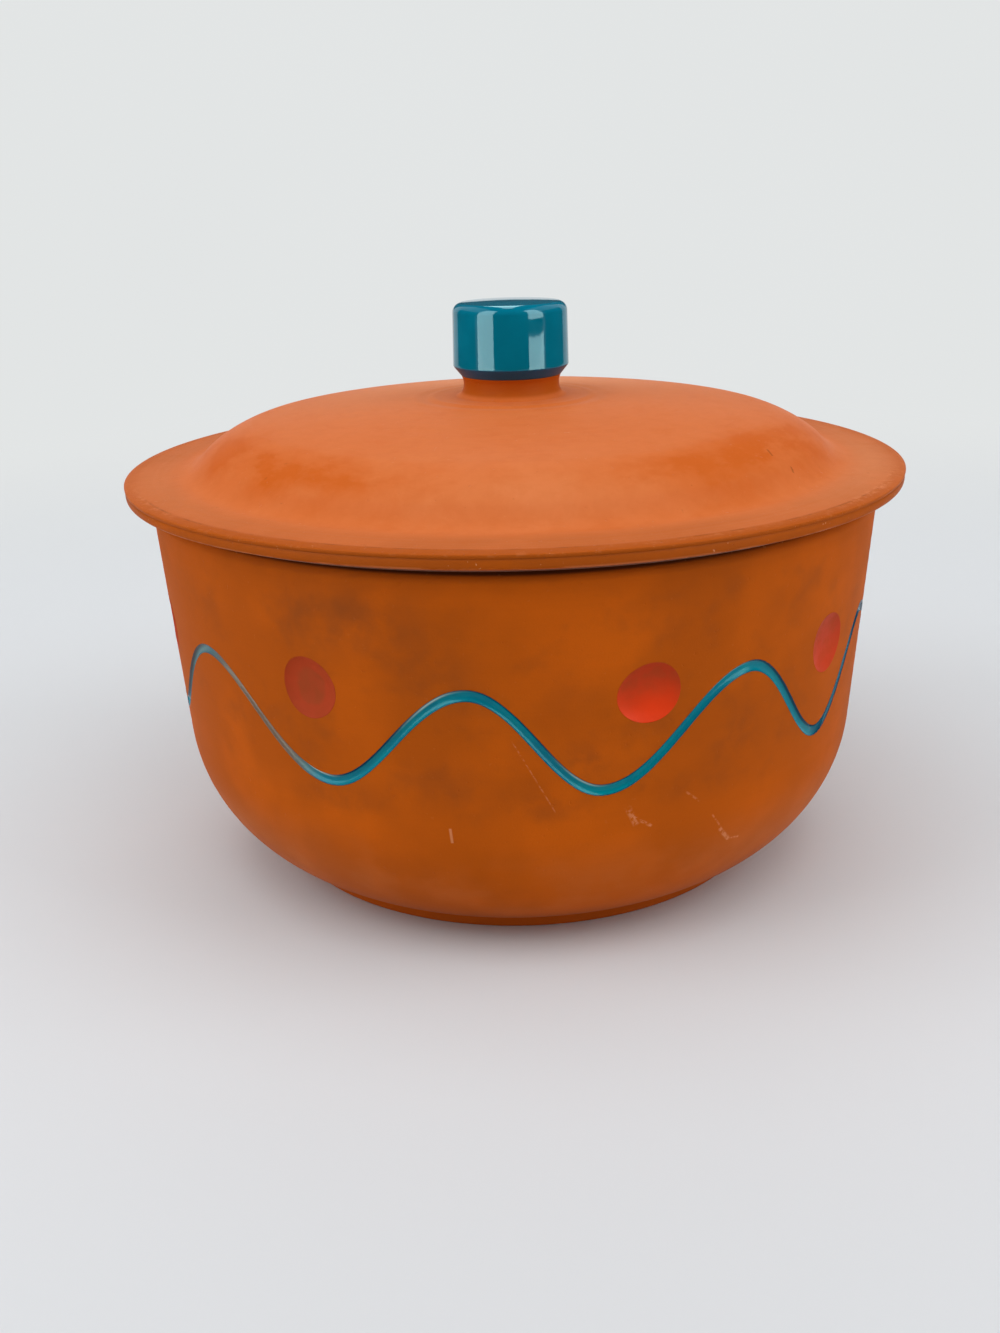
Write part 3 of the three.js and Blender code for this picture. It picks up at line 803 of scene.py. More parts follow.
class Graph:
    """A node tree under construction, which starts empty."""

    def __init__(self, tree):
        self.tree = tree
        tree.nodes.clear()

    def node(self, kind, settings, sockets, output=0):
        """Adds a node: its settings first, then the values or wires of its sockets."""
        made = self.tree.nodes.new(kind)
        for key, value in settings.items():
            setattr(made, key, value)
        for key, value in sockets.items():
            if isinstance(value, Wire):
                self.tree.links.new(value.socket, made.inputs[key])
            else:
                made.inputs[key].default_value = value
        return Wire(self, made.outputs[output]) if len(made.outputs) else None

    def seen(self):
        """1 to the camera, to reflections and through glass, and 0 to all other light."""
        camera, glossy, glass = (
            self.node("ShaderNodeLightPath", {}, {}, f"Is {kind} Ray")
            for kind in ("Camera", "Glossy", "Transmission"))
        return camera + glossy + glass


class Finish(Graph):
    """A procedural material under construction, read in millimetres of the object's own space."""

    def __init__(self, name):
        self.material = bpy.data.materials.new(name)
        self.material.use_nodes = True
        super().__init__(self.material.node_tree)
        place = self.node("ShaderNodeTexCoord", {}, {}, "Object")
        self.place = self.vector("SCALE", place, Scale=1 / MM)
        split = self.node("ShaderNodeSeparateXYZ", {}, {0: self.place})
        self.x, self.y, self.z = (Wire(self, output) for output in split.socket.node.outputs)
        self.radius = (self.x * self.x + self.y * self.y) ** 0.5
        self.bearing = self.x.math("ARCTAN2", -self.y)

    def vector(self, operation, a, b=(0, 0, 0), **sockets):
        """The outcome of a Vector Math node."""
        return self.node("ShaderNodeVectorMath", {"operation": operation}, {0: a, 1: b, **sockets})

    def noise(self, size, detail=3.0, roughness=0.55, place=None, twist=0.0):
        """Noise from 0 to 1 whose blotches are about a size across, in millimetres."""
        return self.node("ShaderNodeTexNoise", {}, {
            "Vector": place or self.place, "Scale": 1 / size, "Detail": detail, "Roughness": roughness,
            "Distortion": twist})

    def swept(self, turns, out, up):
        """A place for noise that is drawn out round the axis and meets itself: the direction from the axis
        times the turns, and then the radius and the height, each times its own share."""
        return self.node("ShaderNodeCombineXYZ", {}, {
            0: self.x / self.radius * turns, 1: self.y / self.radius * turns,
            2: self.radius * out + self.z * up})

    def own(self, attribute):
        """A measure that the mesh carries."""
        return self.node("ShaderNodeAttribute", {"attribute_name": attribute}, {}, "Fac")

    def fade(self, value, start, end):
        """0 up to start, 1 past end, and a smooth step between, which may run either way."""
        step = self.node("ShaderNodeMapRange", {"interpolation_type": "SMOOTHSTEP"}, {
            "Value": value, "From Min": min(start, end), "From Max": max(start, end)})
        return step if end > start else 1 - step

    def band(self, value, start, full, last, end):
        """A fade in from start to full, and out again from last to end."""
        return self.fade(value, start, full) * self.fade(value, end, last)

    def turning(self, start, end):
        """A fade from one bearing to another, in degrees."""
        return self.fade(self.bearing, math.radians(start), math.radians(end))

    def facing(self, far, near):
        """1 within a bearing near the front, and 0 beyond a far one, both in degrees to either side."""
        return self.fade(abs(self.bearing), math.radians(far), math.radians(near))

    def mix(self, amount, a, b):
        """A colour that goes from a to b as the amount goes from 0 to 1."""
        a, b = (value if isinstance(value, Wire) else (*value, 1) for value in (a, b))
        return self.node("ShaderNodeMix", {"data_type": "RGBA"}, {0: amount, 6: a, 7: b}, 2)

    def layered(self, colour, layers):
        """A colour with layers over it, each an amount from 0 to 1 and the layer's own colour."""
        for amount, over in layers:
            colour = self.mix(amount, colour, over)
        return colour

    def spots(self, radius, level, *places):
        """A bell shaped spot at each place: its bearing in degrees, its place along the level, its width and
        its height in millimetres, and its strength. The radius turns bearings into lengths."""
        total = 0.0
        for bearing, middle, wide, tall, strength in places:
            turn = (self.bearing - math.radians(bearing)).math("WRAP", math.pi, -math.pi)
            across = turn * (radius / wide)
            up = (level - middle) / tall
            total = (-(across * across + up * up)).math("EXPONENT") * strength + total
        return total

    def scratches(self, level, *places):
        """Straight scratches, each given by its start and its end (a bearing in degrees and a place along
        the level), its width in millimetres, the radius there, and its strength."""
        total = 0.0
        for start, end, width, radius, strength in places:
            along = np.array([math.radians(end[0] - start[0]) * radius, end[1] - start[1]])
            size = float(np.hypot(*along))
            right, rise = (along / size).tolist()
            across = (self.bearing - math.radians(start[0])) * radius
            up = level - start[1]
            run = self.band((across * right + up * rise) / size, 0.0, 0.08, 0.92, 1.0)
            side = self.fade(abs(across * -rise + up * right), width, width * 0.3)
            total = run * side * strength + total
        return total

    def surface(self, colour, roughness, bumps, **constants):
        """The shader, with its bumps as pairs of a height wire and a depth in millimetres."""
        normal = {}
        for height, depth in bumps:
            sockets = {"Height": height, "Distance": depth * MM, "Strength": 1.0, **normal}
            normal = {"Normal": self.node("ShaderNodeBump", {}, sockets)}
        sockets = {"Base Color": colour, "Roughness": roughness, **normal}
        sockets.update({key.replace("_", " "): value for key, value in constants.items()})
        return self.finished(self.node("ShaderNodeBsdfPrincipled", {}, sockets))

    def finished(self, shader):
        """The material, ended by its shader."""
        self.node("ShaderNodeOutputMaterial", {}, {"Surface": shader})
        return self.material


def clay_grain(finish):
    """Height of the fired clay's grain, and the pits and specks in it, from 0 to 1."""
    grain = finish.noise(0.55, 4, 0.6)
    pits = finish.fade(finish.noise(1.6, 2, 0.5), 0.30, 0.22)
    specks = finish.fade(finish.noise(1.3, 1, 0.4), 0.74, 0.80)
    return grain, pits, specks


def pot_finish(colours):
    """Matt red clay: warm and dull patches, with painted light just under the rim at the front, soft oily
    smudges about the dots and the wave, fine level streaks from turning, pale scratches and scuffs, a pale
    haze low on the wall that is dusty and, at the left and right flanks, painted sheen, pale flecks on the
    rim, painted shade just above the foot and painted light on the foot's side, and under the lid a dark
    band of painted shade with some dirt."""
    f = Finish("Pot clay")
    grain, pits, specks = clay_grain(f)
    lines = f.noise(1, 3, 0.6, f.swept(3.0, 0.35, 0.9))
    # Warmer patches; the wide one under the rim at the front is partly painted light, lifting the brim's
    # shade
    warm = f.fade(f.noise(38, 3, 0.5), 0.40, 0.66) * 0.7 + f.spots(
        WALL, f.z, (12, 107, 12, 9, 0.7), (-4, 121, 34, 6, 0.8), (4, 47, 34, 10, 0.7), (-23, 46, 14, 8, 0.5),
        (37, 45, 22, 14, 0.6))
    cloud = f.noise(17, 3, 0.6)
    smudge = f.fade(cloud, 0.47, 0.75) * f.band(f.z, 44, 60, 116, 127) * 0.55
    smudge = smudge + f.fade(f.noise(11, 4, 0.6), 0.30, 0.62) * f.spots(
        WALL, f.z, (-23, 113, 24, 9, 0.75), (-12, 100, 13, 8, 0.55), (-8, 90, 7, 6, 0.5),
        (-31, 104, 12, 7, 0.4), (9, 70, 7, 4, 0.9), (33, 69, 9, 8, 0.65), (-27, 56, 14, 6, 0.65),
        (-9, 62, 12, 8, 0.45), (3, 58, 10, 6, 0.55), (7, 92, 9, 8, 0.3), (42, 108, 12, 9, 0.3))
    # A pale haze low on the wall: dusty all round, and painted sheen at the left and right flanks
    haze = f.fade(f.noise(20, 3), 0.38, 0.7) * 0.10 + f.spots(
        112, f.z, (-48, 34, 40, 22, 0.15), (52, 36, 40, 22, 0.15))
    scuffs = f.scratches(f.z, ((-10.2, 49.6), (-10.0, 44.4), 0.55, 112, 0.85))
    scuffs = scuffs + f.fade(f.noise(1.5, 3, 0.7), 0.40, 0.58) * f.scratches(
        f.z, ((-1.2, 78), (4.9, 54), 0.3, 118, 0.36), ((15, 54.5), (16.6, 47.5), 1.3, 114, 0.6),
        ((15.8, 51), (19, 46.5), 0.7, 114, 0.7), ((29, 46), (31.6, 39), 0.4, 112, 0.5),
        ((30.8, 40), (33.6, 34), 0.9, 110, 0.9), ((33.2, 34.6), (36, 33.6), 0.6, 110, 0.8),
        ((24, 56), (27, 51), 0.5, 115, 0.4), ((150, 80), (158, 62), 0.4, 118, 0.6))
    pale_patches = f.fade(f.noise(5, 4, 0.75, twist=1.2), 0.68, 0.80) * f.fade(f.noise(30, 1), 0.5, 0.66)
    # Painted shade, with some dirt: a dark band on the wall in the gap under the lid's brim, most at the
    # front
    seam_shade_and_dirt = f.fade(f.z + f.spots(WALL, f.z, (2, 126, 44, 30, 0.35)), 125.9, 126.7)
    seam_shade_and_dirt = seam_shade_and_dirt * f.fade(f.radius, 117.8, 119.2) * (0.3 + f.facing(62, 22) * 0.6)
    flecks = f.fade(f.z, 125.8, 126.6) * f.fade(f.noise(2.4, 2, 0.6), 0.66, 0.72) * (1 - seam_shade_and_dirt)
    colour = f.layered(colours.pot_clay, [
        (warm.capped(1.0), colours.pot_warm),
        ((smudge * 0.68).capped(0.8), colours.pot_smudge),
        (f.band(f.z, 8, 18, 26, 50) * haze, colours.bloom_and_sheen),
        ((scuffs + pale_patches * 0.14 + specks * 0.06).capped(0.75), colours.bloom_and_sheen),
        (seam_shade_and_dirt, colours.grime_and_shade),
        (flecks * 0.7, colours.chip),
        # Painted shade: darker low on the belly, just above the foot
        (f.band(f.z, 4, 6, 7, 17) * 0.2, colours.pot_smudge),
        # Painted light: the foot's side lighter, against the shade under the belly
        (f.fade(f.z, 5.5, 4) * 0.7, colours.lid_warm),
        (abs(grain - 0.5) * 0.5 + lines * 0.08, colours.pot_smudge)])
    roughness = 0.80 + (cloud - 0.5) * 0.16 - smudge * 0.12
    bumps = [(lines, 0.04), (grain, 0.04), (-pits, 0.08)]
    return f.surface(
        colour, roughness, bumps, Specular_IOR_Level=0.03, Sheen_Weight=0.06, Sheen_Roughness=0.35)


def lid_finish(colours):
    """The paler clay of the lid: burnt patches on the shoulder, a crown that is dusty in places and has
    painted sheen at its back and front, a duller brim with painted sheen at its sides and a broken line of
    painted shade in front of its worn bead, whose top has a painted highlight, an edge that kept the colour
    of the pot, as the neck did, painted darker at the front than at the sides, and painted shade under the
    brim."""
    f = Finish("Lid clay")
    grain, pits, specks = clay_grain(f)
    lines = f.noise(1, 3, 0.6, f.swept(2.0, 0.8, 0.8))
    streaks = f.noise(1, 4, 0.68, f.swept(4.5, 0.16, 0.1))
    burnt = f.fade(f.noise(30, 3, 0.5), 0.40, 0.68) * (0.08 + f.band(f.radius, 78, 92, 104, 112) * 0.30)
    burnt = burnt + (0.45 + f.fade(streaks, 0.36, 0.60) * 0.75) * f.spots(
        SHOULDER, f.radius, (-50, 96, 34, 8, 0.9), (-72, 99, 22, 6, 0.7), (-28, 98, 16, 5, 0.45),
        (50, 95, 38, 10, 0.9), (24, 98, 14, 5, 0.35), (74, 99, 20, 7, 0.6), (165, 95, 34, 8, 0.6))
    burnt = burnt + f.fade(streaks, 0.50, 0.68) * 0.22 + f.spots(24, f.radius, (0, 22, 22, 8, 0.5))
    haze = f.fade(f.noise(11, 4, 0.65, twist=0.5), 0.48, 0.74)
    # Paler crown and shoulder: dusty in places, with painted sheen at the crown's back and left and in front
    pale = haze * 0.10 + f.spots(
        SHOULDER, f.radius, (2, 101, 40, 8, 0.30), (-4, 86, 44, 10, 0.10), (176, 45, 110, 34, 0.75),
        (-100, 50, 60, 25, 0.15))
    brim = f.fade(f.radius, 109, 119) * (0.58 + f.fade(f.noise(24, 3), 0.35, 0.65) * 0.25)
    # Painted sheen: paler patches on the brim's left and right sides, seen at a grazing angle
    pale_patches = f.spots(SHOULDER, f.radius, (76, 119, 55, 8, 0.40), (-72, 119, 55, 8, 0.18))
    # The bead has the pot's clay; its extra darkness at the front is painted, standing in for sheen at the
    # sides
    front = f.facing(80, 30)
    bead = f.fade(f.radius, 124.6, 128.2) * (0.30 + f.fade(f.noise(6, 3, 0.6), 0.3, 0.7) * 0.2)
    bead = bead + f.fade(f.radius, 124.8, 126.6) * front * 0.65
    edge = f.fade(f.radius, 127.0, 128.6) * f.fade(f.z, 133.7, 133.0)
    # Pale streaks along the top of the bead: wear, and a painted highlight where the top catches the light
    worn = f.fade(f.radius, 126, 128) * f.fade(f.z, 133.2, 133.8)
    worn = worn * f.fade(f.noise(3.2, 3, 0.65), 0.56, 0.70)
    lower = f.fade(f.radius, 127.6, 128.3) * f.fade(f.z, 130.7, 130.2)
    lower = lower * f.fade(f.noise(9, 3, 0.6), 0.35, 0.6)
    dry = f.fade(f.noise(2.6, 4, 0.7), 0.44, 0.62) * f.spots(
        126, f.radius, (60, 126.6, 30, 1.5, 0.55), (22, 127.2, 22, 0.8, 0.25), (-62, 127.0, 24, 1.2, 0.35))
    chips = f.fade(f.radius, 126.5, 128.2) * f.fade(f.noise(1.4, 2, 0.6), 0.71, 0.76)
    apart = f.vector("ADD", f.place, (40, 0, 7))
    nicks = f.fade(f.radius, 125.5, 127.5) * f.fade(f.noise(2.4, 3, 0.65, apart), 0.68, 0.74)
    line = f.band(f.z, 132.3, 132.7, 132.9, 133.3) * f.fade(f.radius, 128.6, 129.0)
    # Painted shade: a broken dark line in the crease inside the bead, towards the front
    crease = f.band(f.radius, 125.6, 126.0, 126.3, 126.7) * f.fade(f.z, 132, 133) * f.facing(75, 50)
    crease = crease * f.fade(f.noise(9, 4, 0.7), 0.44, 0.60)
    pocks = f.fade(f.noise(2.6, 2, 0.5, apart), 0.74, 0.79) * f.fade(f.radius, 84, 100)
    dark = nicks * 0.55 + line * 0.3 + crease * 0.75 + pocks * 0.35 + f.scratches(
        f.radius, ((52.7, 96), (51.8, 98.8), 0.5, 98, 0.7), ((53.7, 103.2), (53.0, 104.8), 0.5, 104, 0.6))
    mottle = f.fade(f.noise(4.5, 3, 0.6), 0.35, 0.7)
    neck = f.fade(f.radius, 20.5, 18.5) * f.fade(f.z, 156.2, 157.6)
    # Painted shade, with some dirt, on the underside of the brim where it overhangs the pot's rim, most at
    # the front
    seam_shade_and_dirt = f.band(f.radius, 118, 120, 126, 127.5) * f.fade(f.z, 129.9, 129.4)
    seam_shade_and_dirt = seam_shade_and_dirt * (0.35 + f.facing(62, 22) * 0.45)
    colour = f.layered(colours.lid_clay, [
        (burnt.capped(0.9), colours.lid_warm),
        (pale, colours.bloom_and_sheen),
        (brim, colours.lid_brim),
        (pale_patches, colours.bloom_and_sheen),
        (bead.capped(1.0), colours.pot_clay),
        # Painted: the bead darker at the front than at its sides, for the sheen that the sides show
        (f.fade(f.radius, 125.4, 127.0) * front * 0.22, colours.pot_smudge),
        (edge, colours.pot_clay),
        (edge * f.fade(streaks, 0.30, 0.55) * 0.35, colours.pot_smudge),
        (worn * 0.12 + lower * 0.30 + dry, colours.bloom_and_sheen),
        (chips * 0.7, colours.chip),
        (dark.capped(0.8), colours.pot_smudge),
        (mottle * 0.10, colours.pot_clay),
        ((abs(grain - 0.5) * 0.2 + specks * 0.10) * (1 - edge), colours.bloom_and_sheen),
        (neck * 0.95, colours.pot_clay),
        (seam_shade_and_dirt, colours.grime_and_shade)])
    roughness = 0.65 + (haze - 0.5) * 0.12
    bumps = [(lines, 0.05), (grain, 0.045), (-pits - nicks, 0.12)]
    return f.surface(
        colour, roughness, bumps, Specular_IOR_Level=0.03, Sheen_Weight=0.16, Sheen_Roughness=0.22)


def lid_clay(colours):
    """The lid's clay, made once for the lid and the knob's neck."""
    return bpy.data.materials.get("Lid clay") or lid_finish(colours)


def teal_finish(colours, knob):
    """Teal glaze: glossy, with paler clouds and a few dull flecks, and darker and duller on the slanting
    face under the knob's corner, where the darker colour is partly painted shade, as that face looks down."""
    f = Finish("Teal glaze")
    pale = tuple(min(1, 1.25 * value) for value in colours.teal)
    corner = knob.corner_height / MM
    # The slanting face under the knob is darker partly as painted shade, since it looks down
    under = f.band(f.z, corner - 8, corner - 6, corner - 0.35, corner + 0.15)
    colour = f.layered(colours.teal, [
        (f.fade(f.noise(9, 2, 0.5), 0.35, 0.75) * 0.5, pale),
        (under, colours.teal_under)])
    roughness = 0.035 + f.fade(f.noise(3, 4, 0.7), 0.66, 0.82) * 0.06 + under * 0.3
    return f.surface(colour, roughness, [(f.noise(6, 2, 0.5), 0.008)], Specular_IOR_Level=0.30)


def wave_finish(colours):
    """Teal glaze in the groove: brighter than on the knob, with pinholes, painted shade on its upper side
    and on the arm at the right, a dull brownish stretch at the left with painted shade along its upper side,
    and painted glints on its upper edge."""
    f = Finish("Wave glaze")
    cloud = f.fade(f.noise(12, 3, 0.6), 0.35, 0.7)
    bright = (colours.teal[0], 1.48 * colours.teal[1], 1.18 * colours.teal[2])
    across = f.own("across")
    deep = f.fade(f.noise(1.1, 2, 0.5), 0.27, 0.22) * 0.6
    # Painted shade on the groove's upper side, whose wall looks down, and on the arm at the right, seen side
    # on
    deep = deep + f.fade(across, 0.50, 0.86) * 0.85 + f.fade(across, -0.80, -0.98) * 0.4
    deep = deep + f.turning(49, 54) * f.turning(80, 70) * 0.8
    dull = f.turning(-29, -37) * f.turning(-72, -62) * (1 - f.turning(-46, -53) * 0.6)
    # Painted glints: pale streaks on the glaze's upper edge by some crests and troughs
    thin = f.spots(
        WALL, across, (-30.5, 0.72, 5, 0.24, 1.0), (-12, 0.72, 7, 0.20, 0.75), (8.5, 0.72, 6, 0.20, 0.65),
        (30, 0.72, 7, 0.18, 0.4))
    colour = f.layered(bright, [
        (cloud * 0.7, colours.teal),
        (deep.capped(0.9), colours.teal_deep),
        (dull * 0.85, colours.film),
        # Painted shade along the upper side of the dull stretch
        (dull * f.fade(across, 0.10, 0.55) * 0.85, colours.dull_stretch_shade),
        (thin, colours.thin)])
    return f.surface(colour, 0.14 + cloud * 0.10, [(f.noise(4, 2, 0.5), 0.08)], Specular_IOR_Level=0.10)


def dot_finish(colours):
    """Red glaze: satin, brightest low in the press, where it has run together and where painted light falls
    on the slope that faces up. At the left it is thin and dull, with a redder ring towards its outline."""
    f = Finish("Red glaze")
    middle = DOT_HEIGHT / MM
    # Brighter low in each press: glaze run together there, and painted light on the slope that faces up
    pooled_and_lit = 0.25 + f.spots(
        WALL, f.z, (18, middle, 14, 20, 0.7), (135, middle, 16, 20, 0.6), (-110, middle, 16, 20, 0.5))
    lower = f.fade(f.z + (f.noise(9, 2) - 0.5) * 7, middle + 6, middle - 7) * pooled_and_lit
    worn = f.fade(f.noise(4, 4, 0.6), 0.40, 0.66)
    left = f.turning(-8, -22)
    ring = f.fade(f.own("outward") + (f.noise(5, 2) - 0.5) * 0.3, 0.50, 0.66)
    colour = f.layered(colours.red, [
        (0.35 + worn * 0.25, colours.red_deep),
        (left * (0.75 + worn * 0.2), colours.red_deep),
        (left * ring * 0.28, colours.red),
        (lower * (1 - left), colours.red_bright)])
    roughness = 0.42 + worn * 0.10 + left * 0.2
    return f.surface(colour, roughness, [(f.noise(2.4, 3, 0.6), 0.05)], Specular_IOR_Level=0.05)


def lining_finish(colours):
    """Clear glaze over red clay: glossy brown, with flecks and darker pools."""
    f = Finish("Clear glaze")
    pool = f.fade(f.noise(26, 4, 0.6, twist=0.5), 0.35, 0.7)
    dark = tuple(0.45 * value for value in colours.lining)
    colour = f.layered(colours.lining, [
        (pool * 0.7, dark),
        (f.fade(f.noise(1.2, 2, 0.5), 0.72, 0.78) * 0.5, colours.pot_warm)])
    return f.surface(colour, 0.10 + pool * 0.08, [(f.noise(8, 3, 0.5), 0.2)], Specular_IOR_Level=0.5)


# Stage


def ground_finish(floor, wall):
    """A plain pale surface. Near the dish it is a matt floor that keeps shadows. Further out the camera,
    reflections and glass see its own colour, and all other light meets it as a matt one."""
    f = Finish("Ground")
    grey = (0.5, 0.5, 0.5)
    back = f.fade(f.radius, 330, 900)
    shade = f.layered(floor, [(back, wall), (f.noise(400, 2, 0.5) * 0.04, grey)])
    matt = f.node("ShaderNodeBsdfDiffuse", {}, {"Color": shade})
    plain = f.node("ShaderNodeEmission", {}, {"Color": shade})
    return f.finished(f.node("ShaderNodeMixShader", {}, {0: f.seen() * back, 1: matt, 2: plain}))


def add_sheet(name, line, across, material):
    """A staged sheet: a line of places, drawn out to both sides by a vector."""
    line, across = np.array(line), np.array(across)
    points = np.stack([line - across, line + across], 1).reshape(-1, 3)
    corners = 2 * np.arange(len(line) - 1)[:, None] + [0, 1, 3, 2]
    sheet = add_mesh(name, points, corners.tolist(), material)
    return sheet


def add_lamp(name, place, target, wide, tall, watts):
    """A soft rectangular lamp at a place, turned to face a target, not seen by the camera itself."""
    light = bpy.data.lights.new(name, "AREA")
    light.shape = "RECTANGLE"
    light.size = wide
    light.size_y = tall
    light.energy = watts
    lamp = bpy.data.objects.new(name, light)
    lamp.location = place
    lamp.rotation_euler = (Vector(target) - Vector(place)).to_track_quat("-Z", "Y").to_euler()
    lamp.visible_camera = False
    bpy.context.scene.collection.objects.link(lamp)
    return lamp


def add_window(name, bearing, wide, low, high, radiance, colour):
    """A pane of a window at a bearing, from a low to a high edge, that shows in the glazes alone. A lamp's
    power is its radiance times pi times its area."""
    distance = 0.8
    x = distance * math.sin(math.radians(bearing))
    y = -distance * math.cos(math.radians(bearing))
    middle = (low + high) / 2
    watts = radiance * math.pi * wide * (high - low)
    pane = add_lamp(name, (x, y, middle), (0, 0, middle), wide, high - low, watts)
    pane.data.color = colour
    pane.visible_diffuse = False


def add_flags():
    """Dark cards that only glossy surfaces see, so that the glazes stay deep between the windows: one at
    each side of the knob, one behind the windows, and one over the dish and down behind it."""
    f = Finish("Dark card")
    card = f.finished(f.node("ShaderNodeBsdfDiffuse", {}, {"Color": (0.05, 0.05, 0.05, 1)}))
    for name, line, across in (
            ("left_flag", [(-0.3, 0.06, 0.12), (-0.3, 0.06, 0.36)], (0, 0.16, 0)),
            ("right_flag", [(0.3, 0.06, 0.12), (0.3, 0.06, 0.36)], (0, 0.16, 0)),
            ("front_flag", [(0, -0.85, 0.02), (0, -0.85, 1.5)], (2.6, 0, 0)),
            ("top_flag", [(0, -0.85, 1.5), (0, 1.2, 1.5), (0, 1.2, 0.205)], (0.6, 0, 0))):
        flag = add_sheet(name, line, across, card)
        flag.visible_camera = False
        flag.visible_diffuse = False
        flag.visible_shadow = False
        flag.visible_transmission = False


def add_world(ambient, wall):
    """Even light from all round, which camera, reflections and glass see as the plain backdrop colour."""
    world = bpy.data.worlds.new("Studio")
    world.use_nodes = True
    sky = Graph(world.node_tree)
    light = sky.node("ShaderNodeBackground", {}, {"Color": (1, 1, 1, 1), "Strength": ambient})
    plain = sky.node("ShaderNodeBackground", {}, {"Color": (*wall, 1)})
    either = sky.node("ShaderNodeMixShader", {}, {0: sky.seen(), 1: light, 2: plain})
    sky.node("ShaderNodeOutputWorld", {}, {"Surface": either})
    return world


def add_camera(stage):
    """The camera at the photograph's angle: rolled, then tipped from looking down to its pitch, then turned
    by its yaw and put in its place."""
    data = bpy.data.cameras.new("Camera")
    data.sensor_width = 36
    data.lens = stage.focal / MM
    data.clip_start = 0.01
    data.clip_end = 20
    camera = bpy.data.objects.new("Camera", data)
    place = Matrix.Translation((-stage.aside, -stage.distance, stage.height))
    turn = Matrix.Rotation(stage.yaw, 4, "Z") @ Matrix.Rotation(math.pi / 2 - stage.pitch, 4, "X")
    camera.matrix_world = place @ turn @ Matrix.Rotation(-stage.roll, 4, "Z")
    bpy.context.scene.collection.objects.link(camera)
    bpy.context.scene.camera = camera


# Operators


class Step:
    """What the operators of this file share."""

    bl_options = {"REGISTER", "UNDO"}


class CASSEROLE_OT_stage(Step, bpy.types.Operator):
    """Build the pale floor and backdrop, the soft lamps and the camera"""

    bl_idname = "casserole.stage"
    bl_label = "Stage"

    def execute(self, context):
        stage = context.scene.casserole.stage
        line = joined(
            straight((-2.6, 0), (0.75, 0), 30), arc((0.75, 0.5), 0.5, -math.pi / 2, 0, 24),
            straight((1.25, 0.55), (1.25, 1.4), 10))
        material = ground_finish(stage.floor, stage.wall)
        ground = add_sheet("ground", np.insert(line, 0, 0, axis=1), (3, 0, 0), material)
        ground.data.shade_smooth()
        for lamp in (
                add_lamp("overhead", (-0.1, -0.35, 1.35), (0, 0.1, 0.05), 1.9, 1.6, stage.overhead),
                add_lamp("left_side", (-1.15, -0.35, 0.75), (0, 0, 0.08), 1, 0.9, stage.side),
                add_lamp("right_side", (1.15, -0.3, 0.75), (0, 0, 0.08), 1, 0.9, stage.side),
                add_lamp("behind", (0, 1, 0.6), (0, 0, 0.15), 1, 0.4, stage.behind)):
            lamp.visible_glossy = False
        add_window("left_window", -50.4, 0.49, 0.02, 1.3, stage.window, stage.daylight)
        add_window("right_window", 52.3, 0.47, 0.134, 1.3, stage.window, stage.daylight)
        add_window("right_window_low", 52.3, 0.47, 0.02, 0.115, stage.window, stage.daylight)
        skylight = add_lamp(
            "skylight", (-0.03, 0.55, 1.14), (-0.03, 0, 0.186), 0.2, 1.3, 0.5 * stage.window)
        skylight.data.color = stage.daylight
        skylight.visible_diffuse = False
        add_flags()
        context.scene.world = add_world(stage.ambient, stage.wall)
        context.scene.view_settings.view_transform = "Standard"
        add_camera(stage)
        return {"FINISHED"}


class CASSEROLE_OT_pot(Step, bpy.types.Operator):
    """Build the clay body of the pot, with its carved groove and pressed dots"""

    bl_idname = "casserole.pot"
    bl_label = "Pot"

    def execute(self, context):
        dish = context.scene.casserole
        mesh = pot_mesh(dish.pot, dish.marks)
        add_piece("pot_clay", mesh, pot_finish(dish.finish), "pot", "pot_clay", ["pot_body"])
        return {"FINISHED"}


class CASSEROLE_OT_wave(Step, bpy.types.Operator):
    """Build the teal glaze that fills the carved wave line"""

    bl_idname = "casserole.wave"
    bl_label = "Wave line"

    def execute(self, context):
        dish = context.scene.casserole
        *mesh, across = wave_mesh(dish.pot, dish.marks)
        material = wave_finish(dish.finish)
        add_piece("wave_line", mesh, material, "pot", "teal_glaze", ["wave_glaze"], across=across)
        return {"FINISHED"}


class CASSEROLE_OT_dots(Step, bpy.types.Operator):
    """Build the pool of red glaze in each pressed dot"""

    bl_idname = "casserole.dots"
    bl_label = "Dots"

    def execute(self, context):
        dish = context.scene.casserole
        material = dot_finish(dish.finish)
        for index, node in enumerate(DOT_NODES):
            *mesh, outward = dot_mesh(dish.pot, dish.marks, index)
            add_piece(f"dot_{index + 1}", mesh, material, "pot", "red_glaze", [node], outward=outward)
        return {"FINISHED"}


class CASSEROLE_OT_linings(Step, bpy.types.Operator):
    """Build the clear glaze inside the pot and inside the lid"""

    bl_idname = "casserole.linings"
    bl_label = "Linings"

    def execute(self, context):
        dish = context.scene.casserole
        pot, lid = dish.pot, dish.lid
        material = lining_finish(dish.finish)
        mesh = lining_mesh(inside_line(pot, -LAP, POT_LINING_TOP.z), pot.lining)
        add_piece("pot_lining", mesh, material, "pot", "clear_glaze", ["pot_lining_glaze"])
        mesh = lining_mesh(under_line(lid, dish.knob, lid.thickness - LAP), lid.lining)
        add_piece("lid_lining", mesh, material, "lid", "clear_glaze", ["lid_lining_glaze"])
        return {"FINISHED"}


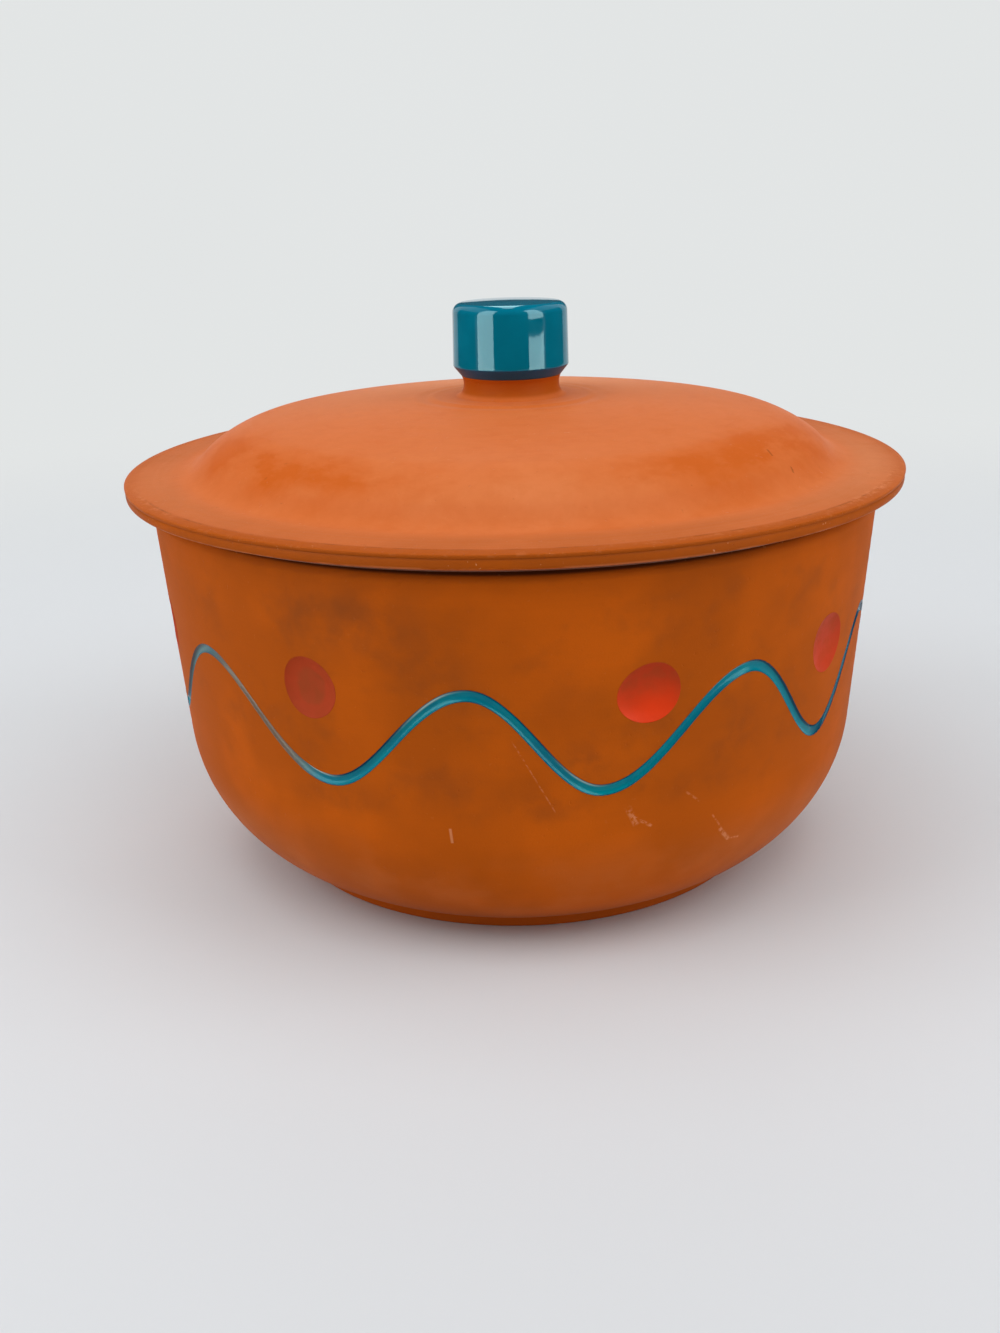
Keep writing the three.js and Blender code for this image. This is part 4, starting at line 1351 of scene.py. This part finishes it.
class CASSEROLE_OT_lid(Step, bpy.types.Operator):
    """Build the clay body of the lid"""

    bl_idname = "casserole.lid"
    bl_label = "Lid"

    def execute(self, context):
        dish = context.scene.casserole
        mesh = lid_mesh(dish.lid, dish.knob)
        add_piece("lid_clay", mesh, lid_clay(dish.finish), "lid", "lid_clay", ["lid_body"])
        return {"FINISHED"}


class CASSEROLE_OT_knob(Step, bpy.types.Operator):
    """Build the knob: its clay neck and core, and its cap of teal glaze"""

    bl_idname = "casserole.knob"
    bl_label = "Knob"

    def execute(self, context):
        dish = context.scene.casserole
        neck = neck_mesh(dish.lid, dish.knob)
        add_piece("knob_neck", neck, lid_clay(dish.finish), "lid", "lid_clay", ["lid_knob"])
        glaze = teal_finish(dish.finish, dish.knob)
        add_piece("knob_cap", knob_glaze_mesh(dish.knob), glaze, "lid", "teal_glaze", ["knob_glaze"])
        return {"FINISHED"}


class CASSEROLE_PT_panel(bpy.types.Panel):
    """Lists the steps that build the dish"""

    bl_label = "Casserole"
    bl_idname = "CASSEROLE_PT_panel"
    bl_space_type = "VIEW_3D"
    bl_region_type = "UI"
    bl_category = "Casserole"

    def draw(self, context):
        for operator in OPERATORS:
            self.layout.operator(operator.bl_idname)


OPERATORS = (
    CASSEROLE_OT_stage, CASSEROLE_OT_pot, CASSEROLE_OT_wave, CASSEROLE_OT_dots, CASSEROLE_OT_linings,
    CASSEROLE_OT_lid, CASSEROLE_OT_knob)
CLASSES = (
    PotSettings, MarkSettings, LidSettings, KnobSettings, FinishSettings, StageSettings, DishSettings,
    *OPERATORS, CASSEROLE_PT_panel)


def register():
    for kind in CLASSES:
        bpy.utils.register_class(kind)
    bpy.types.Scene.casserole = PointerProperty(type=DishSettings)


def unregister():
    del bpy.types.Scene.casserole
    for kind in reversed(CLASSES):
        bpy.utils.unregister_class(kind)


def main():
    register()
    bpy.ops.casserole.stage()
    bpy.ops.casserole.pot()
    bpy.ops.casserole.wave()
    bpy.ops.casserole.dots()
    bpy.ops.casserole.linings()
    bpy.ops.casserole.lid()
    bpy.ops.casserole.knob()


if __name__ == "__main__":
    main()
